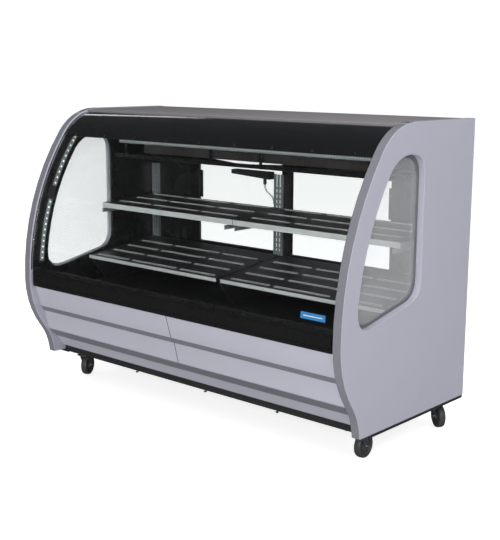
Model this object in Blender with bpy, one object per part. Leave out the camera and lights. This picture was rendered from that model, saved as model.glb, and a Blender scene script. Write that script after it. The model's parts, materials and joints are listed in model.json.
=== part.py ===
"""Refrigerated deli case with a curved front glass.

Frame: metres, +Z up, front towards -Y, origin on the floor under the middle of the case.
Side sections are drawn as (reach, height) pairs: reach is the distance forward of the rear face.
"""
import math

import bmesh
import bpy
from mathutils import Matrix, Vector

# ---- overall sizes -------------------------------------------------------------------------
WIDTH = 1.850
DEPTH = 0.875
HEIGHT = 1.300
GAP = 0.0003                # clearance between pieces that touch
FACE_STEPS = 24             # facets round a wheel

# ---- side profile of the end panels --------------------------------------------------------
TOP_LENGTH = 0.443          # flat top, from the rear face to where the shoulder begins
SHOULDER_RADIUS = 0.255
BELLY_HEIGHT = 0.515        # height of the most forward point
BELLY_RADIUS = 0.400
BELLY_HEADING = 127.0       # direction of the outline where the belly ends, 90 is straight down
FOOT_RADIUS = 0.245
FOOT_HEADING = 98.5
PANEL_BOTTOM = 0.140

# ---- end walls -----------------------------------------------------------------------------
END_PANEL = 0.038           # thickness of a painted end panel
LINER = 0.012               # thickness of the black inner skin
LINER_BOTTOM = 0.405
LINER_INSET = 0.019         # from the side profile to the skin's front edge
WINDOW_MARGIN = 0.092       # from the side profile to the window's front edge
WINDOW_TOP = 1.179
WINDOW_REAR = 0.363         # reach of the window's rear edge
WINDOW_SILL = 0.622         # height of the sill at the rear edge
WINDOW_SLOPE = 0.207        # fall of the sill per metre of reach
WINDOW_CORNERS = (0.068, 0.085, 0.072, 0.110)
PANE_RECESS = 0.029         # from the panel's face to the window pane
PANE = 0.0084
GASKET_WALL = 0.004
GASKET_LIP = 0.011
GASKET_LIP_DEPTH = 0.003

# ---- top, front glass and its hinge --------------------------------------------------------
TOP_INSET = 0.002           # step from the end panels down to the top
TOP_THICKNESS = 0.040
TOP_NOSE = 0.012            # thickness of the top's front lip
TOP_END_HEADING = 14.0
GLASS_HEADING = 16.3        # where the front glass begins
GLASS_INSET = 0.008
GLASS = 0.006
GLASS_SIDE_GAP = 0.003
HEADER_HEIGHT = 1.175       # lower edge of the black header band
HEADER_BAND = 0.002
HINGE_HEADING = 17.5
HINGE_INSET = 0.0205
HINGE_BARREL = 0.005
RAIL_HINGE_CLEARANCE = 0.0006
RAIL_LEDGE = 0.004          # thickness of the ledge under the hinge rod

# ---- front rail and kick panels ------------------------------------------------------------
RAIL_TOP = 0.560
RAIL_BOTTOM = 0.485
RAIL_DEPTH = 0.022
RAIL_LIP_HEIGHT = 0.014
RAIL_LIP_GAP = 0.0023
KICK_INSET = 0.024
KICK_SHEET = 0.004
KICK_JOINT = 0.003
BAND_1 = (0.030, 0.103)     # (back, down) of each band and ledge
LEDGE_1 = (0.020, 0.027)
BAND_2 = (0.023, 0.092)
LEDGE_2 = (0.045, 0.044)
BAND_3_BACK = 0.040

# ---- base frame and casters ----------------------------------------------------------------
FRAME_BOTTOM = 0.128
FRAME_SIDE_WIDTH = 0.060
FRAME_EDGE = 0.002          # step from the end panels in to the frame
FRAME_FRONT_SETBACK = 0.195
BASE_TOP = 0.165
FRAME_BAR = 0.030
CROSS_BARS = (-0.150, 0.120, 0.520)
PAD = (0.095, 0.080, 0.003)
CASTER_INSET = 0.099        # from the case's side to the swivel axis
CASTER_FRONT_SETBACK = 0.263
CASTER_REAR = 0.055
WHEEL_RADIUS = 0.050
WHEEL_WIDTH = 0.030
AXLE_RADIUS = 0.006
AXLE_CLEARANCE = 0.0004
TRAIL = 0.035
FORK_SHEET = 0.003
FORK_GAP = 0.0015
CROWN_RADIUS = 0.028
CROWN_HEIGHT = 0.014
FRONT_LEFT_ROLL = 114.0     # rolling direction at rest, degrees from +X
FRONT_RIGHT_ROLL = 92.0
REAR_RIGHT_ROLL = -35.0
REAR_LEFT_ROLL = -80.0

# ---- tub and rear wall ---------------------------------------------------------------------
REAR_SKIN = 0.002           # step from the end panels in to the rear skin
TUB_REAR = 0.012
TUB_WALL = 0.050
TUB_BOTTOM = 0.410
TUB_FLOOR = 0.462
TUB_FLOOR_SETBACK = 0.180
TUB_FRONT_WALL = 0.045
REAR_WALL = 0.085
REAR_SKIN_SHEET = 0.0095
SILL = 0.575
OPENING_HALF = 0.612
OPENING_BOTTOM = 0.592
OPENING_DROP = 0.155        # from the top of the case to the top of the door opening
RIB = 0.018
RIB_HALF = 0.858            # middle of the outer deck ribs

# ---- sliding doors -------------------------------------------------------------------------
DOOR_OUTER = 0.036          # reach of the outer door's rear face
DOOR_INNER = 0.060
DOOR_THICKNESS = 0.016
DOOR_STILE = 0.030
DOOR_RAIL = 0.034
DOOR_OVERLAP = 0.040
DOOR_PANE = 0.006
PANE_BITE = 0.006
TRACK_REAR = 0.030
TRACK_DEPTH = 0.052
TRACK_BOTTOM_HEIGHT = 0.020
TRACK_TOP_HEIGHT = 0.028
GROOVE_BOTTOM = 0.009
GROOVE_TOP = 0.018
TRACK_CLEARANCE = 0.002
GRIP = (0.020, 0.135)
GRIP_DROP = 0.152           # from the opening's top to the grip's top

# ---- shelving ------------------------------------------------------------------------------
POST_WIDTH = 0.090
POST_DEPTH = 0.019
STANDARD_WIDTH = 0.045
STANDARD_DEPTH = 0.015
STANDARD_HALF = 0.8475
STANDARD_TOP = 1.013
SHELF_SHEET = 0.002
SHELF_SIDE_GAP = 0.006
DECK_REAR = 0.106
DECK_DEPTH = 0.421
DECK_REAR_HEIGHT = 0.6395
DECK_FALL = 0.050
DECK_JOINT = 0.026
DECK_LIP = 0.016
DECK_ROWS = 4
DECK_FIRST_ROW = 0.104
DECK_ROW_PITCH = 0.095
SHELF_REAR = 0.108
SHELF_DEPTH = 0.327
SHELF_REAR_HEIGHT = 0.860
SHELF_FALL = 0.021
SHELF_JOINT = 0.003
SHELF_LIP = 0.024
SHELF_ROWS = 3
SHELF_FIRST_ROW = 0.024
SHELF_ROW_PITCH = 0.112
REAR_LIP = 0.012
SLOT_LENGTHS = (0.210, 0.285, 0.210)
SLOT_SPACING = 0.035
SLOT_WIDTH = 0.011
BRACKET_SHEET = 0.006
BRACKET_ROOT = 0.052
BRACKET_NOSE = 0.020
BRACKET_OVERHANG = 0.018
BRACKET_INNER = 0.030       # middle of the two inner brackets, from the middle of the case

# ---- overhead cooling and light ------------------------------------------------------------
BAR_REACH = 0.350
BAR_DEPTH = 0.026
BAR_DROP = 0.170            # from the top of the case to the bar's underside
BAR_HEIGHT = 0.024
BAR_HALF = 0.810
HANGERS = (-0.780, -0.210, 0.090, 0.660)
HANGER_WIDTH = 0.015
HANGER_SHEET = 0.003
TRAY_FRONT_DROP = 0.222     # from the top of the case to the tray's front lip
TRAY_REAR_LOW_DROP = 0.274
TRAY_REAR_HIGH_DROP = 0.225
TRAY_SHEET = 0.003
TRAY_LIP = 0.018
DRAIN_X = -0.270
TROUGH = (-0.292, -0.058)
TROUGH_DROP = 0.279
TROUGH_HEIGHTS = (0.020, 0.034)
TROUGH_DEPTH = 0.040
SPOUT_X = -0.098
SPOUT_RADIUS = 0.008
SPOUT_LENGTH = 0.026
HOSE_RADIUS = 0.004
COIL_HALF = 0.700
COIL_REACH = (0.135, 0.335)
COIL_DROPS = (0.062, 0.214)
COIL_FINS = 18
LED_OFFSET = 0.042
LED_WIDTH = 0.030
LED_THICKNESS = 0.009
LED_TOP = 1.190
LED_BOTTOM = 0.590

# ---- machine compartment -------------------------------------------------------------------
CONDENSER_X = (-0.160, 0.140)
CONDENSER_REACH = (0.060, 0.115)
CONDENSER_HEIGHT = 0.205
CONDENSER_FINS = 14
FAN_RADIUS = 0.088
FAN_REACH = 0.130
FAN_DEPTH = 0.022
FAN_HUB = 0.020
FAN_SHAFT = 0.004
FAN_BLADES = 4
MOTOR_RADIUS = 0.034
MOTOR_LENGTH = 0.070
COMPRESSOR_X = 0.330
COMPRESSOR_REACH = 0.300
COMPRESSOR_RADIUS = 0.082
COMPRESSOR_HEIGHT = 0.190
LINE_RADIUS = 0.005
GRILLE_SHEET = 0.010
GRILLE_TOP = 0.404
GRILLE_SPLIT = 0.545        # where the grille ends and the control box begins
GRILLE_SLOTS = 7
GRILLE_SLOT_PITCH = 0.030
GRILLE_SLOT_HEIGHT = 0.010
CONTROL_FACE = 0.030
CONTROL_DEPTH = 0.080
CONTROL_TOP = 0.380
CONTROL_BOTTOM = 0.200
KNOB_RADIUS = 0.020
KNOB_DEPTH = 0.018
KNOB_PLACE = (0.640, 0.290)
SWITCH_PLACE = (0.760, 0.290)
SWITCH_SIZE = (0.018, 0.012, 0.030)
SWITCH_TILT = 9.0
SWITCH_POCKET = 0.0015

HALF_DEPTH = DEPTH / 2
PANEL_INNER = WIDTH / 2 - END_PANEL
WALL_INNER = PANEL_INNER - GAP - LINER
BETWEEN_PANELS = PANEL_INNER - GAP
BETWEEN_WALLS = WALL_INNER - GAP
BEHIND_DISPLAY = REAR_WALL + GAP


# ---- colours -------------------------------------------------------------------------------
def material(name, colour, roughness, metallic=0.0, alpha=1.0):
    mat = bpy.data.materials.new(name)
    mat.use_nodes = True
    shader = mat.node_tree.nodes["Principled BSDF"]
    shader.inputs["Base Color"].default_value = (*colour, 1.0)
    shader.inputs["Roughness"].default_value = roughness
    shader.inputs["Metallic"].default_value = metallic
    shader.inputs["Alpha"].default_value = alpha
    return mat


def clear_scene():
    for item in list(bpy.data.objects):
        bpy.data.objects.remove(item, do_unlink=True)


# ---- the side profile ----------------------------------------------------------------------
def profile_arcs():
    """The outline from the flat top to the foot: (centre reach, centre height, radius,
    start heading, end heading, side), where side is 1 on a bulge and -1 in the hollow foot."""
    run = DEPTH - TOP_LENGTH
    drop = HEIGHT - BELLY_HEIGHT
    front = (run ** 2 + drop ** 2 - 2 * drop * SHOULDER_RADIUS) / (2 * (run - SHOULDER_RADIUS))
    turn = math.atan2(front - run, drop - SHOULDER_RADIUS)
    belly_end = math.radians(BELLY_HEADING)
    belly = (DEPTH - BELLY_RADIUS, BELLY_HEIGHT)
    both = BELLY_RADIUS + FOOT_RADIUS
    foot = (belly[0] + both * math.sin(belly_end), belly[1] + both * math.cos(belly_end))
    straight_down = math.radians(90)
    return [
        (TOP_LENGTH, HEIGHT - SHOULDER_RADIUS, SHOULDER_RADIUS, 0.0, turn, 1, 7),
        (DEPTH - front, BELLY_HEIGHT, front, turn, straight_down, 1, 8),
        (*belly, BELLY_RADIUS, straight_down, belly_end, 1, 5),
        (*foot, FOOT_RADIUS, belly_end, math.radians(FOOT_HEADING), -1, 4),
    ]


ARCS = profile_arcs()


def on_arc(arc, heading, inset):
    reach, height, radius, _, _, side, _ = arc
    offset = side * (radius - side * inset)
    return (reach + offset * math.sin(heading), height + offset * math.cos(heading))


def shoulder_point(heading, inset):
    """The point of the shoulder at a heading in degrees, moved inwards by inset."""
    return on_arc(ARCS[0], math.radians(heading), inset)


def profile_nodes(inset):
    """Points of the outline, moved inwards by inset, at the same headings for every inset."""
    nodes = []
    for arc in ARCS:
        start, end, steps = arc[3], arc[4], arc[6]
        first = 0 if arc is ARCS[0] else 1
        for step in range(first, steps + 1):
            nodes.append(on_arc(arc, start + (end - start) * step / steps, inset))
    return nodes


def reach_at(height, inset):
    """How far forward the outline, moved inwards by inset, lies at a height."""
    nodes = profile_nodes(inset)
    for (near, high), (far, low) in zip(nodes, nodes[1:]):
        if high >= height >= low and high > low:
            return near + (far - near) * (high - height) / (high - low)
    foot, low = nodes[-1]
    return foot + (low - height) / math.tan(math.radians(FOOT_HEADING))


def front_points(inset, top, bottom):
    """The outline from height top down to height bottom, both ends included."""
    points = [(reach_at(top, inset), top)]
    for node in profile_nodes(inset):
        if bottom + 0.004 < node[1] < min(top, points[-1][1]) - 0.0005:
            points.append(node)
    points.append((reach_at(bottom, inset), bottom))
    return points


# ---- meshes --------------------------------------------------------------------------------
def y_of(reach):
    return HALF_DEPTH - reach


def finish(bm):
    bmesh.ops.recalc_face_normals(bm, faces=bm.faces)
    return bm


def extrude_outline(corners, direction):
    bm = bmesh.new()
    face = bm.faces.new([bm.verts.new(corner) for corner in corners])
    grown = bmesh.ops.extrude_face_region(bm, geom=[face])["geom"]
    moved = [item for item in grown if isinstance(item, bmesh.types.BMVert)]
    bmesh.ops.translate(bm, vec=direction, verts=moved)
    return finish(bm)


def side_prism(points, left, right):
    """A closed side section swept across the case from x = left to x = right."""
    corners = [(left, y_of(reach), height) for reach, height in points]
    return extrude_outline(corners, (right - left, 0, 0))


def rear_prism(points, near, far):
    """A closed outline of (x, height) points swept from reach near to reach far."""
    corners = [(x, y_of(near), height) for x, height in points]
    return extrude_outline(corners, (0, near - far, 0))


def block(xs, reaches, heights):
    """A box between pairs of x, reach and height values."""
    bm = bmesh.new()
    low = Vector((min(xs), y_of(max(reaches)), min(heights)))
    high = Vector((max(xs), y_of(min(reaches)), max(heights)))
    size = high - low
    place = Matrix.Translation((low + high) / 2) @ Matrix.Diagonal((*size, 1.0))
    bmesh.ops.create_cube(bm, size=1.0, matrix=place)
    return bm


def rings_body(rings):
    """A closed tube-like body whose loops follow one another round to the first."""
    bm = bmesh.new()
    loops = [[bm.verts.new(point) for point in ring] for ring in rings]
    count = len(loops[0])
    for index, loop in enumerate(loops):
        following = loops[(index + 1) % len(loops)]
        for step in range(count):
            other = (step + 1) % count
            bm.faces.new((loop[step], loop[other], following[other], following[step]))
    return finish(bm)


def turned(profile, steps):
    """A body turned about Z from (radius, height) pairs that run from end to end."""
    bm = bmesh.new()
    loops = []
    for radius, height in profile:
        if radius == 0:
            loops.append([bm.verts.new((0, 0, height))])
            continue
        loop = []
        for step in range(steps):
            angle = 2 * math.pi * (step + 0.5) / steps
            loop.append(bm.verts.new((radius * math.sin(angle), radius * math.cos(angle), height)))
        loops.append(loop)
    closed = len(loops[0]) > 1 and len(loops[-1]) > 1
    pairs = list(zip(loops, loops[1:] + loops[:1])) if closed else list(zip(loops, loops[1:]))
    for first, second in pairs:
        for step in range(steps):
            other = (step + 1) % steps
            if len(first) == 1:
                bm.faces.new((first[0], second[step], second[other]))
            elif len(second) == 1:
                bm.faces.new((first[step], second[0], first[other]))
            else:
                bm.faces.new((first[step], second[step], second[other], first[other]))
    return finish(bm)


def moved(bm, place):
    bmesh.ops.transform(bm, matrix=place, verts=bm.verts)
    return bm


# ---- objects -------------------------------------------------------------------------------
def node(name, bm, mat, pivot=(0, 0, 0), turn=0.0, smooth=False):
    """An object whose origin is at pivot; its mesh arrives in world coordinates before the turn."""
    pivot = Vector(pivot)
    bmesh.ops.translate(bm, vec=-pivot, verts=bm.verts)
    mesh = bpy.data.meshes.new(name)
    bm.to_mesh(mesh)
    bm.free()
    mesh.materials.append(mat)
    if smooth:
        mesh.shade_smooth()
        mesh.set_sharp_from_angle(angle=math.radians(35))
    item = bpy.data.objects.new(name, mesh)
    item.location = pivot
    item.rotation_euler = (0, 0, turn)
    bpy.context.scene.collection.objects.link(item)
    return item


def combine(item, bm, operation):
    """Cut a mesh from an object, or fuse it on, in the object's own turned frame."""
    tool = node(f"tool_{item.name}_{len(item.modifiers)}", bm, item.data.materials[0],
                item.location, item.rotation_euler.z)
    tool.hide_render = True
    tool.display_type = "WIRE"
    step = item.modifiers.new(operation.lower(), "BOOLEAN")
    step.operation = operation
    step.solver = "EXACT"
    step.object = tool


def cut(item, *meshes):
    for bm in meshes:
        combine(item, bm, "DIFFERENCE")


def fuse(item, *meshes):
    for bm in meshes:
        combine(item, bm, "UNION")


def merged(meshes):
    """Several separate meshes as one, for a cutter that cuts many holes."""
    whole = bmesh.new()
    for bm in meshes:
        spare = bpy.data.meshes.new("spare")
        bm.to_mesh(spare)
        bm.free()
        whole.from_mesh(spare)
        bpy.data.meshes.remove(spare)
    return whole


def tube(name, route, radius, mat, resolution=2):
    """A round tube along a smooth curve through the route's points."""
    curve = bpy.data.curves.new(name, "CURVE")
    curve.dimensions = "3D"
    curve.bevel_depth = radius
    curve.bevel_resolution = resolution
    curve.use_fill_caps = True
    points = smooth_route(route, radius * 5)
    spline = curve.splines.new("POLY")
    spline.points.add(len(points) - 1)
    for spot, place in zip(spline.points, points):
        spot.co = (*place, 1.0)
    curve.materials.append(mat)
    item = bpy.data.objects.new(name, curve)
    bpy.context.scene.collection.objects.link(item)
    return item


def smooth_route(route, spacing):
    """Catmull-Rom points through the route, about one spacing apart."""
    ends = [Vector(place) for place in route]
    ends = [2 * ends[0] - ends[1]] + ends + [2 * ends[-1] - ends[-2]]
    points = []
    for before, start, end, after in zip(ends, ends[1:], ends[2:], ends[3:]):
        steps = max(1, round((end - start).length / spacing))
        for step in range(steps):
            t = step / steps
            bend = (2 * before - 5 * start + 4 * end - after) * t * t
            twist = (3 * start - before - 3 * end + after) * t ** 3
            points.append((2 * start + (end - before) * t + bend + twist) / 2)
    points.append(ends[-2])
    return points


# ---- end walls -----------------------------------------------------------------------------
def window_outline(inset):
    """The window's outline moved inwards by inset, as (reach, height) points."""
    margin = WINDOW_MARGIN + inset
    top = WINDOW_TOP - inset
    rear = WINDOW_REAR + inset
    lift = inset * math.hypot(1, WINDOW_SLOPE)

    def sill(reach):
        return WINDOW_SILL - (reach - WINDOW_REAR) * WINDOW_SLOPE + lift

    low = WINDOW_SILL
    for _ in range(30):
        low = sill(reach_at(low, margin))
    front_top, rear_top, rear_low, front_low = WINDOW_CORNERS
    corner_a = Vector((reach_at(top, margin), top))
    corner_b = Vector((rear, top))
    corner_c = Vector((rear, sill(rear)))
    corner_d = Vector((reach_at(low, margin), low))
    along_sill = (corner_d - corner_c).normalized()
    upper_cut = top - front_top * 0.85
    lower_cut = low + front_low * 0.97
    curve_top = Vector((reach_at(upper_cut, margin), upper_cut))
    curve_low = Vector((reach_at(lower_cut, margin), lower_cut))
    steps = 7
    points = []
    for step in range(1, steps):
        height = lower_cut + (upper_cut - lower_cut) * step / steps
        points.append(Vector((reach_at(height, margin), height)))
    points += bend(curve_top, corner_a, corner_a - Vector((front_top, 0)))
    points += bend(corner_b + Vector((rear_top, 0)), corner_b, corner_b - Vector((0, rear_top)))
    points += bend(corner_c + Vector((0, rear_low)), corner_c, corner_c + along_sill * rear_low)
    points += bend(corner_d - along_sill * front_low, corner_d, curve_low)
    return points


def bend(start, corner, end, steps=5):
    """A quadratic curve from start to end that rounds off a corner."""
    points = []
    for step in range(steps + 1):
        t = step / steps
        points.append(start * (1 - t) ** 2 + corner * 2 * t * (1 - t) + end * t ** 2)
    return points


def end_walls(lilac, black, rubber, glass):
    outline = [(0, PANEL_BOTTOM), (0, HEIGHT)] + profile_nodes(0)
    outline.append((reach_at(PANEL_BOTTOM, 0), PANEL_BOTTOM))
    skin_top = HEIGHT - TOP_THICKNESS - GAP
    skin = [(REAR_SKIN, LINER_BOTTOM), (REAR_SKIN, skin_top)]
    skin += front_points(LINER_INSET, skin_top, RAIL_TOP)
    skin += [(reach_at(RAIL_TOP, RAIL_DEPTH + GLASS_INSET) - GAP, RAIL_TOP),
             (reach_at(RAIL_BOTTOM, RAIL_DEPTH + GLASS_INSET) - GAP, RAIL_BOTTOM),
             (kick_points()[1][0] - KICK_SHEET - GAP, LINER_BOTTOM)]
    for name, side in (("left", -1), ("right", 1)):
        panel = node(f"{name}_end_panel", side_prism(unique(outline), side * PANEL_INNER,
                                                     side * WIDTH / 2), lilac)
        cut(panel, side_prism(window_outline(0), side * (PANEL_INNER - 0.01),
                              side * (WIDTH / 2 + 0.01)))
        liner = node(f"{name}_liner", side_prism(unique(skin), side * WALL_INNER,
                                                 side * BETWEEN_PANELS), black)
        cut(liner, side_prism(window_outline(GASKET_WALL), side * (WALL_INNER - 0.01),
                              side * (PANEL_INNER + 0.01)))
        node(f"{name}_window_gasket", gasket(side), rubber)
        pane = WIDTH / 2 - PANE_RECESS - GAP
        pane_outline = window_outline(GAP + GASKET_WALL + GAP)
        node(f"{name}_window_glass", side_prism(pane_outline, side * pane,
                                                side * (pane - PANE)), glass)


def gasket(side):
    lip_face = side * (WIDTH / 2 - PANE_RECESS + GASKET_LIP_DEPTH)
    pocket = side * (WIDTH / 2 - PANE_RECESS)
    back = side * PANEL_INNER
    stations = [(GAP, lip_face), (GAP, back), (GAP + GASKET_WALL, back),
                (GAP + GASKET_WALL, pocket), (GAP + GASKET_LIP, pocket), (GAP + GASKET_LIP, lip_face)]
    rings = []
    for inset, x in stations:
        rings.append([(x, y_of(reach), height) for reach, height in window_outline(inset)])
    return rings_body(rings)


def unique(points):
    kept = []
    for point in points:
        if not kept or math.dist(point, kept[-1]) > 0.0002:
            kept.append(point)
    return kept


# ---- top, glass and front ------------------------------------------------------------------
def top_and_glass(steel, black, glass, print_black):
    step_back = TOP_LENGTH - 0.030
    nose = [shoulder_point(TOP_END_HEADING * part / 2, TOP_INSET) for part in range(3)]
    under = [shoulder_point(TOP_END_HEADING * part / 2, TOP_NOSE) for part in (2, 1, 0)]
    section = [(REAR_SKIN, HEIGHT - TOP_THICKNESS), (REAR_SKIN, HEIGHT - TOP_INSET)] + nose + under
    section += [(step_back, HEIGHT - TOP_NOSE), (step_back, HEIGHT - TOP_THICKNESS)]
    node("top_panel", side_prism(section, -BETWEEN_PANELS, BETWEEN_PANELS), steel)

    axis = shoulder_point(HINGE_HEADING, HINGE_INSET)
    rail_top = under[0][1] - GAP
    swing = math.dist(axis, shoulder_point(GLASS_HEADING, GLASS_INSET))
    rail_front = axis[0] - swing - RAIL_HINGE_CLEARANCE
    ledge = axis[1] - HINGE_BARREL - RAIL_HINGE_CLEARANCE
    ledge_front = axis[0] + HINGE_BARREL
    hinge_rail = [(step_back + GAP, ledge - RAIL_LEDGE), (step_back + GAP, rail_top), (rail_front, rail_top),
                  (rail_front, ledge), (ledge_front, ledge), (ledge_front, ledge - RAIL_LEDGE)]
    node("glass_hinge_rail", side_prism(hinge_rail, -BETWEEN_WALLS, BETWEEN_WALLS), black)

    half = PANEL_INNER - GLASS_SIDE_GAP
    pivot = (0, y_of(axis[0]), axis[1])
    inner = GLASS_INSET + GLASS
    sheet = glass_section(GLASS_INSET, inner, RAIL_TOP + GAP)
    node("front_glass", side_prism(sheet, -half, half), glass, pivot, smooth=True)
    band_back = inner + GAP + HEADER_BAND
    band = glass_section(inner + GAP, band_back, HEADER_HEIGHT)
    header = node("header_band", side_prism(band, -half, half), print_black, pivot, smooth=True)
    barrel_half = BETWEEN_WALLS - 0.002
    barrel = turned([(0, -barrel_half), (HINGE_BARREL, -barrel_half),
                     (HINGE_BARREL, barrel_half), (0, barrel_half)], 12)
    fuse(header, moved(barrel, Matrix.Translation(pivot) @ Matrix.Rotation(math.radians(90), 4, "Y")))


def glass_section(outer, inner, bottom):
    """The section of a curved sheet between two insets, from its hinge edge down to bottom."""
    faces = []
    for inset in (outer, inner):
        start = shoulder_point(GLASS_HEADING, inset)
        nodes = [spot for spot in profile_nodes(inset) if bottom + 0.004 < spot[1] < start[1] - 0.002]
        faces.append([start] + nodes + [(reach_at(bottom, inset), bottom)])
    return faces[0] + faces[1][::-1]


def kick_points():
    """The front face of the stepped kick panels, top to bottom."""
    top = RAIL_BOTTOM - GAP
    spots = [(reach_at(top, KICK_INSET), top)]
    for back, down in (BAND_1, LEDGE_1, BAND_2, LEDGE_2):
        spots.append((spots[-1][0] - back, spots[-1][1] - down))
    spots.append((spots[-1][0] - BAND_3_BACK, BASE_TOP))
    return spots


def kick_sheet(points, left, right):
    back = [(reach - KICK_SHEET, height) for reach, height in points]
    return side_prism(points + back[::-1], left, right)


def front_rail_and_kick(black, lilac):
    behind_glass = GLASS_INSET + GLASS + RAIL_LIP_GAP
    lip_back = behind_glass + 0.006
    lip_top = RAIL_TOP + RAIL_LIP_HEIGHT
    back = GLASS_INSET + RAIL_DEPTH
    section = front_points(GLASS_INSET, RAIL_TOP, RAIL_BOTTOM)
    section += [(reach_at(RAIL_BOTTOM, back), RAIL_BOTTOM), (reach_at(RAIL_TOP - 0.004, back), RAIL_TOP - 0.004),
                (reach_at(RAIL_TOP, lip_back), RAIL_TOP - 0.004), (reach_at(lip_top, lip_back), lip_top),
                (reach_at(lip_top, behind_glass), lip_top), (reach_at(RAIL_TOP, behind_glass), RAIL_TOP)]
    rail = side_prism(section, -BETWEEN_WALLS, BETWEEN_WALLS)
    node("bottom_rail", rail, black)

    points = kick_points()
    joint = KICK_JOINT / 2
    node("kick_panel_left", kick_sheet(points[:4], -BETWEEN_PANELS, -joint), lilac)
    node("kick_panel_right", kick_sheet(points[:4], joint, BETWEEN_PANELS), lilac)
    lower = [(points[3][0], points[3][1] - GAP), points[4], points[5]]
    node("kick_panel_lower", kick_sheet(lower, -BETWEEN_PANELS, BETWEEN_PANELS), lilac)


# ---- base and casters ----------------------------------------------------------------------
def caster_spots():
    """(name, x, reach, rolling direction) of each swivel axis."""
    out = WIDTH / 2 - CASTER_INSET
    front = DEPTH - CASTER_FRONT_SETBACK
    return [("front_left", -out, front, FRONT_LEFT_ROLL), ("front_right", out, front, FRONT_RIGHT_ROLL),
            ("rear_left", -out, CASTER_REAR, REAR_LEFT_ROLL),
            ("rear_right", out, CASTER_REAR, REAR_RIGHT_ROLL)]


def base_frame(black):
    outer = WIDTH / 2 - FRAME_EDGE
    inner = outer - FRAME_SIDE_WIDTH
    front = DEPTH - FRAME_FRONT_SETBACK
    side_top = PANEL_BOTTOM - GAP
    frame = node("base_frame", block((-outer, -inner), (0.004, front), (FRAME_BOTTOM, side_top)), black)
    fuse(frame, block((inner, outer), (0.004, front), (FRAME_BOTTOM, side_top)))
    bars = [block((-BETWEEN_PANELS, BETWEEN_PANELS), (front - FRAME_BAR, front - 0.002),
                  (FRAME_BOTTOM + 0.004, BASE_TOP - GAP)),
            block((-BETWEEN_PANELS, BETWEEN_PANELS), (0.016, 0.016 + FRAME_BAR),
                  (FRAME_BOTTOM + 0.004, BASE_TOP - GAP))]
    for x in CROSS_BARS:
        bars.append(block((x - FRAME_BAR / 2, x + FRAME_BAR / 2), (0.030, front - 0.010),
                          (FRAME_BOTTOM + 0.006, BASE_TOP - 0.001 - GAP)))
    for side in (-1, 1):
        for near in (0.018, front - 0.034):
            post_out = BETWEEN_PANELS - 0.001
            bars.append(block((side * (post_out - FRAME_BAR), side * post_out), (near, near + 0.028),
                              (FRAME_BOTTOM + 0.002, LINER_BOTTOM - GAP)))
    fuse(frame, *bars)
    for _, x, reach, _ in caster_spots():
        fuse(frame, block((x - PAD[1] / 2, x + PAD[1] / 2), (reach - PAD[0] / 2, reach + PAD[0] / 2),
                          (FRAME_BOTTOM - PAD[2], FRAME_BOTTOM + 0.001)))


def caster(name, x, reach, roll, zinc, rubber):
    """A fork that swivels about a vertical axis and a wheel that trails behind it."""
    turn = math.radians(roll - 90)
    pivot = Vector((x, y_of(reach), 0))
    axle_height = WHEEL_RADIUS * math.cos(math.pi / FACE_STEPS)
    top = FRAME_BOTTOM - PAD[2] - GAP
    crown_low = top - CROWN_HEIGHT
    crown = turned([(0, crown_low), (CROWN_RADIUS * 0.85, crown_low), (CROWN_RADIUS, crown_low + 0.004),
                    (CROWN_RADIUS * 0.9, top), (0, top)], 20)
    fork = node(f"{name}_fork", moved(crown, Matrix.Translation(pivot)), zinc, pivot, turn, smooth=True)
    inside = WHEEL_WIDTH / 2 + FORK_GAP
    for side in (-1, 1):
        leg = extrude_outline([(side * inside, -0.020, top - 0.003), (side * inside, 0.022, top - 0.003),
                               (side * inside, TRAIL + 0.013, axle_height + 0.004),
                               (side * inside, TRAIL + 0.006, axle_height - 0.012),
                               (side * inside, TRAIL - 0.008, axle_height - 0.011),
                               (side * inside, TRAIL - 0.014, axle_height)],
                              (side * FORK_SHEET, 0, 0))
        fuse(fork, moved(leg, Matrix.Translation(pivot)))
    bolt_half = inside + FORK_SHEET + 0.004
    bolt = turned([(0, -bolt_half), (AXLE_RADIUS, -bolt_half), (AXLE_RADIUS, bolt_half), (0, bolt_half)], 12)
    axle_place = pivot + Vector((0, TRAIL, axle_height))
    flat = Matrix.Rotation(math.radians(90), 4, "Y")
    fuse(fork, moved(bolt, Matrix.Translation(axle_place) @ flat))

    hole = AXLE_RADIUS + AXLE_CLEARANCE
    half = WHEEL_WIDTH / 2
    tread = turned([(hole, -half + 0.001), (0.016, -half), (0.020, -half + 0.005), (0.036, -half + 0.005),
                    (0.039, -half + 0.001), (WHEEL_RADIUS - 0.004, -half), (WHEEL_RADIUS, -half + 0.005),
                    (WHEEL_RADIUS, half - 0.005), (WHEEL_RADIUS - 0.004, half), (0.039, half - 0.001),
                    (0.036, half - 0.005), (0.020, half - 0.005), (0.016, half), (hole, half - 0.001)],
                   FACE_STEPS)
    centre = pivot + Matrix.Rotation(turn, 3, "Z") @ Vector((0, TRAIL, axle_height))
    upright = flat @ Matrix.Rotation(math.radians(90), 4, "Z")
    node(f"{name}_wheel", moved(tread, Matrix.Translation(centre) @ upright), rubber, centre, turn, smooth=True)


# ---- tub, rear wall and doors --------------------------------------------------------------
def deck_height(reach):
    return DECK_REAR_HEIGHT - (reach - DECK_REAR) * DECK_FALL / DECK_DEPTH


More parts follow.
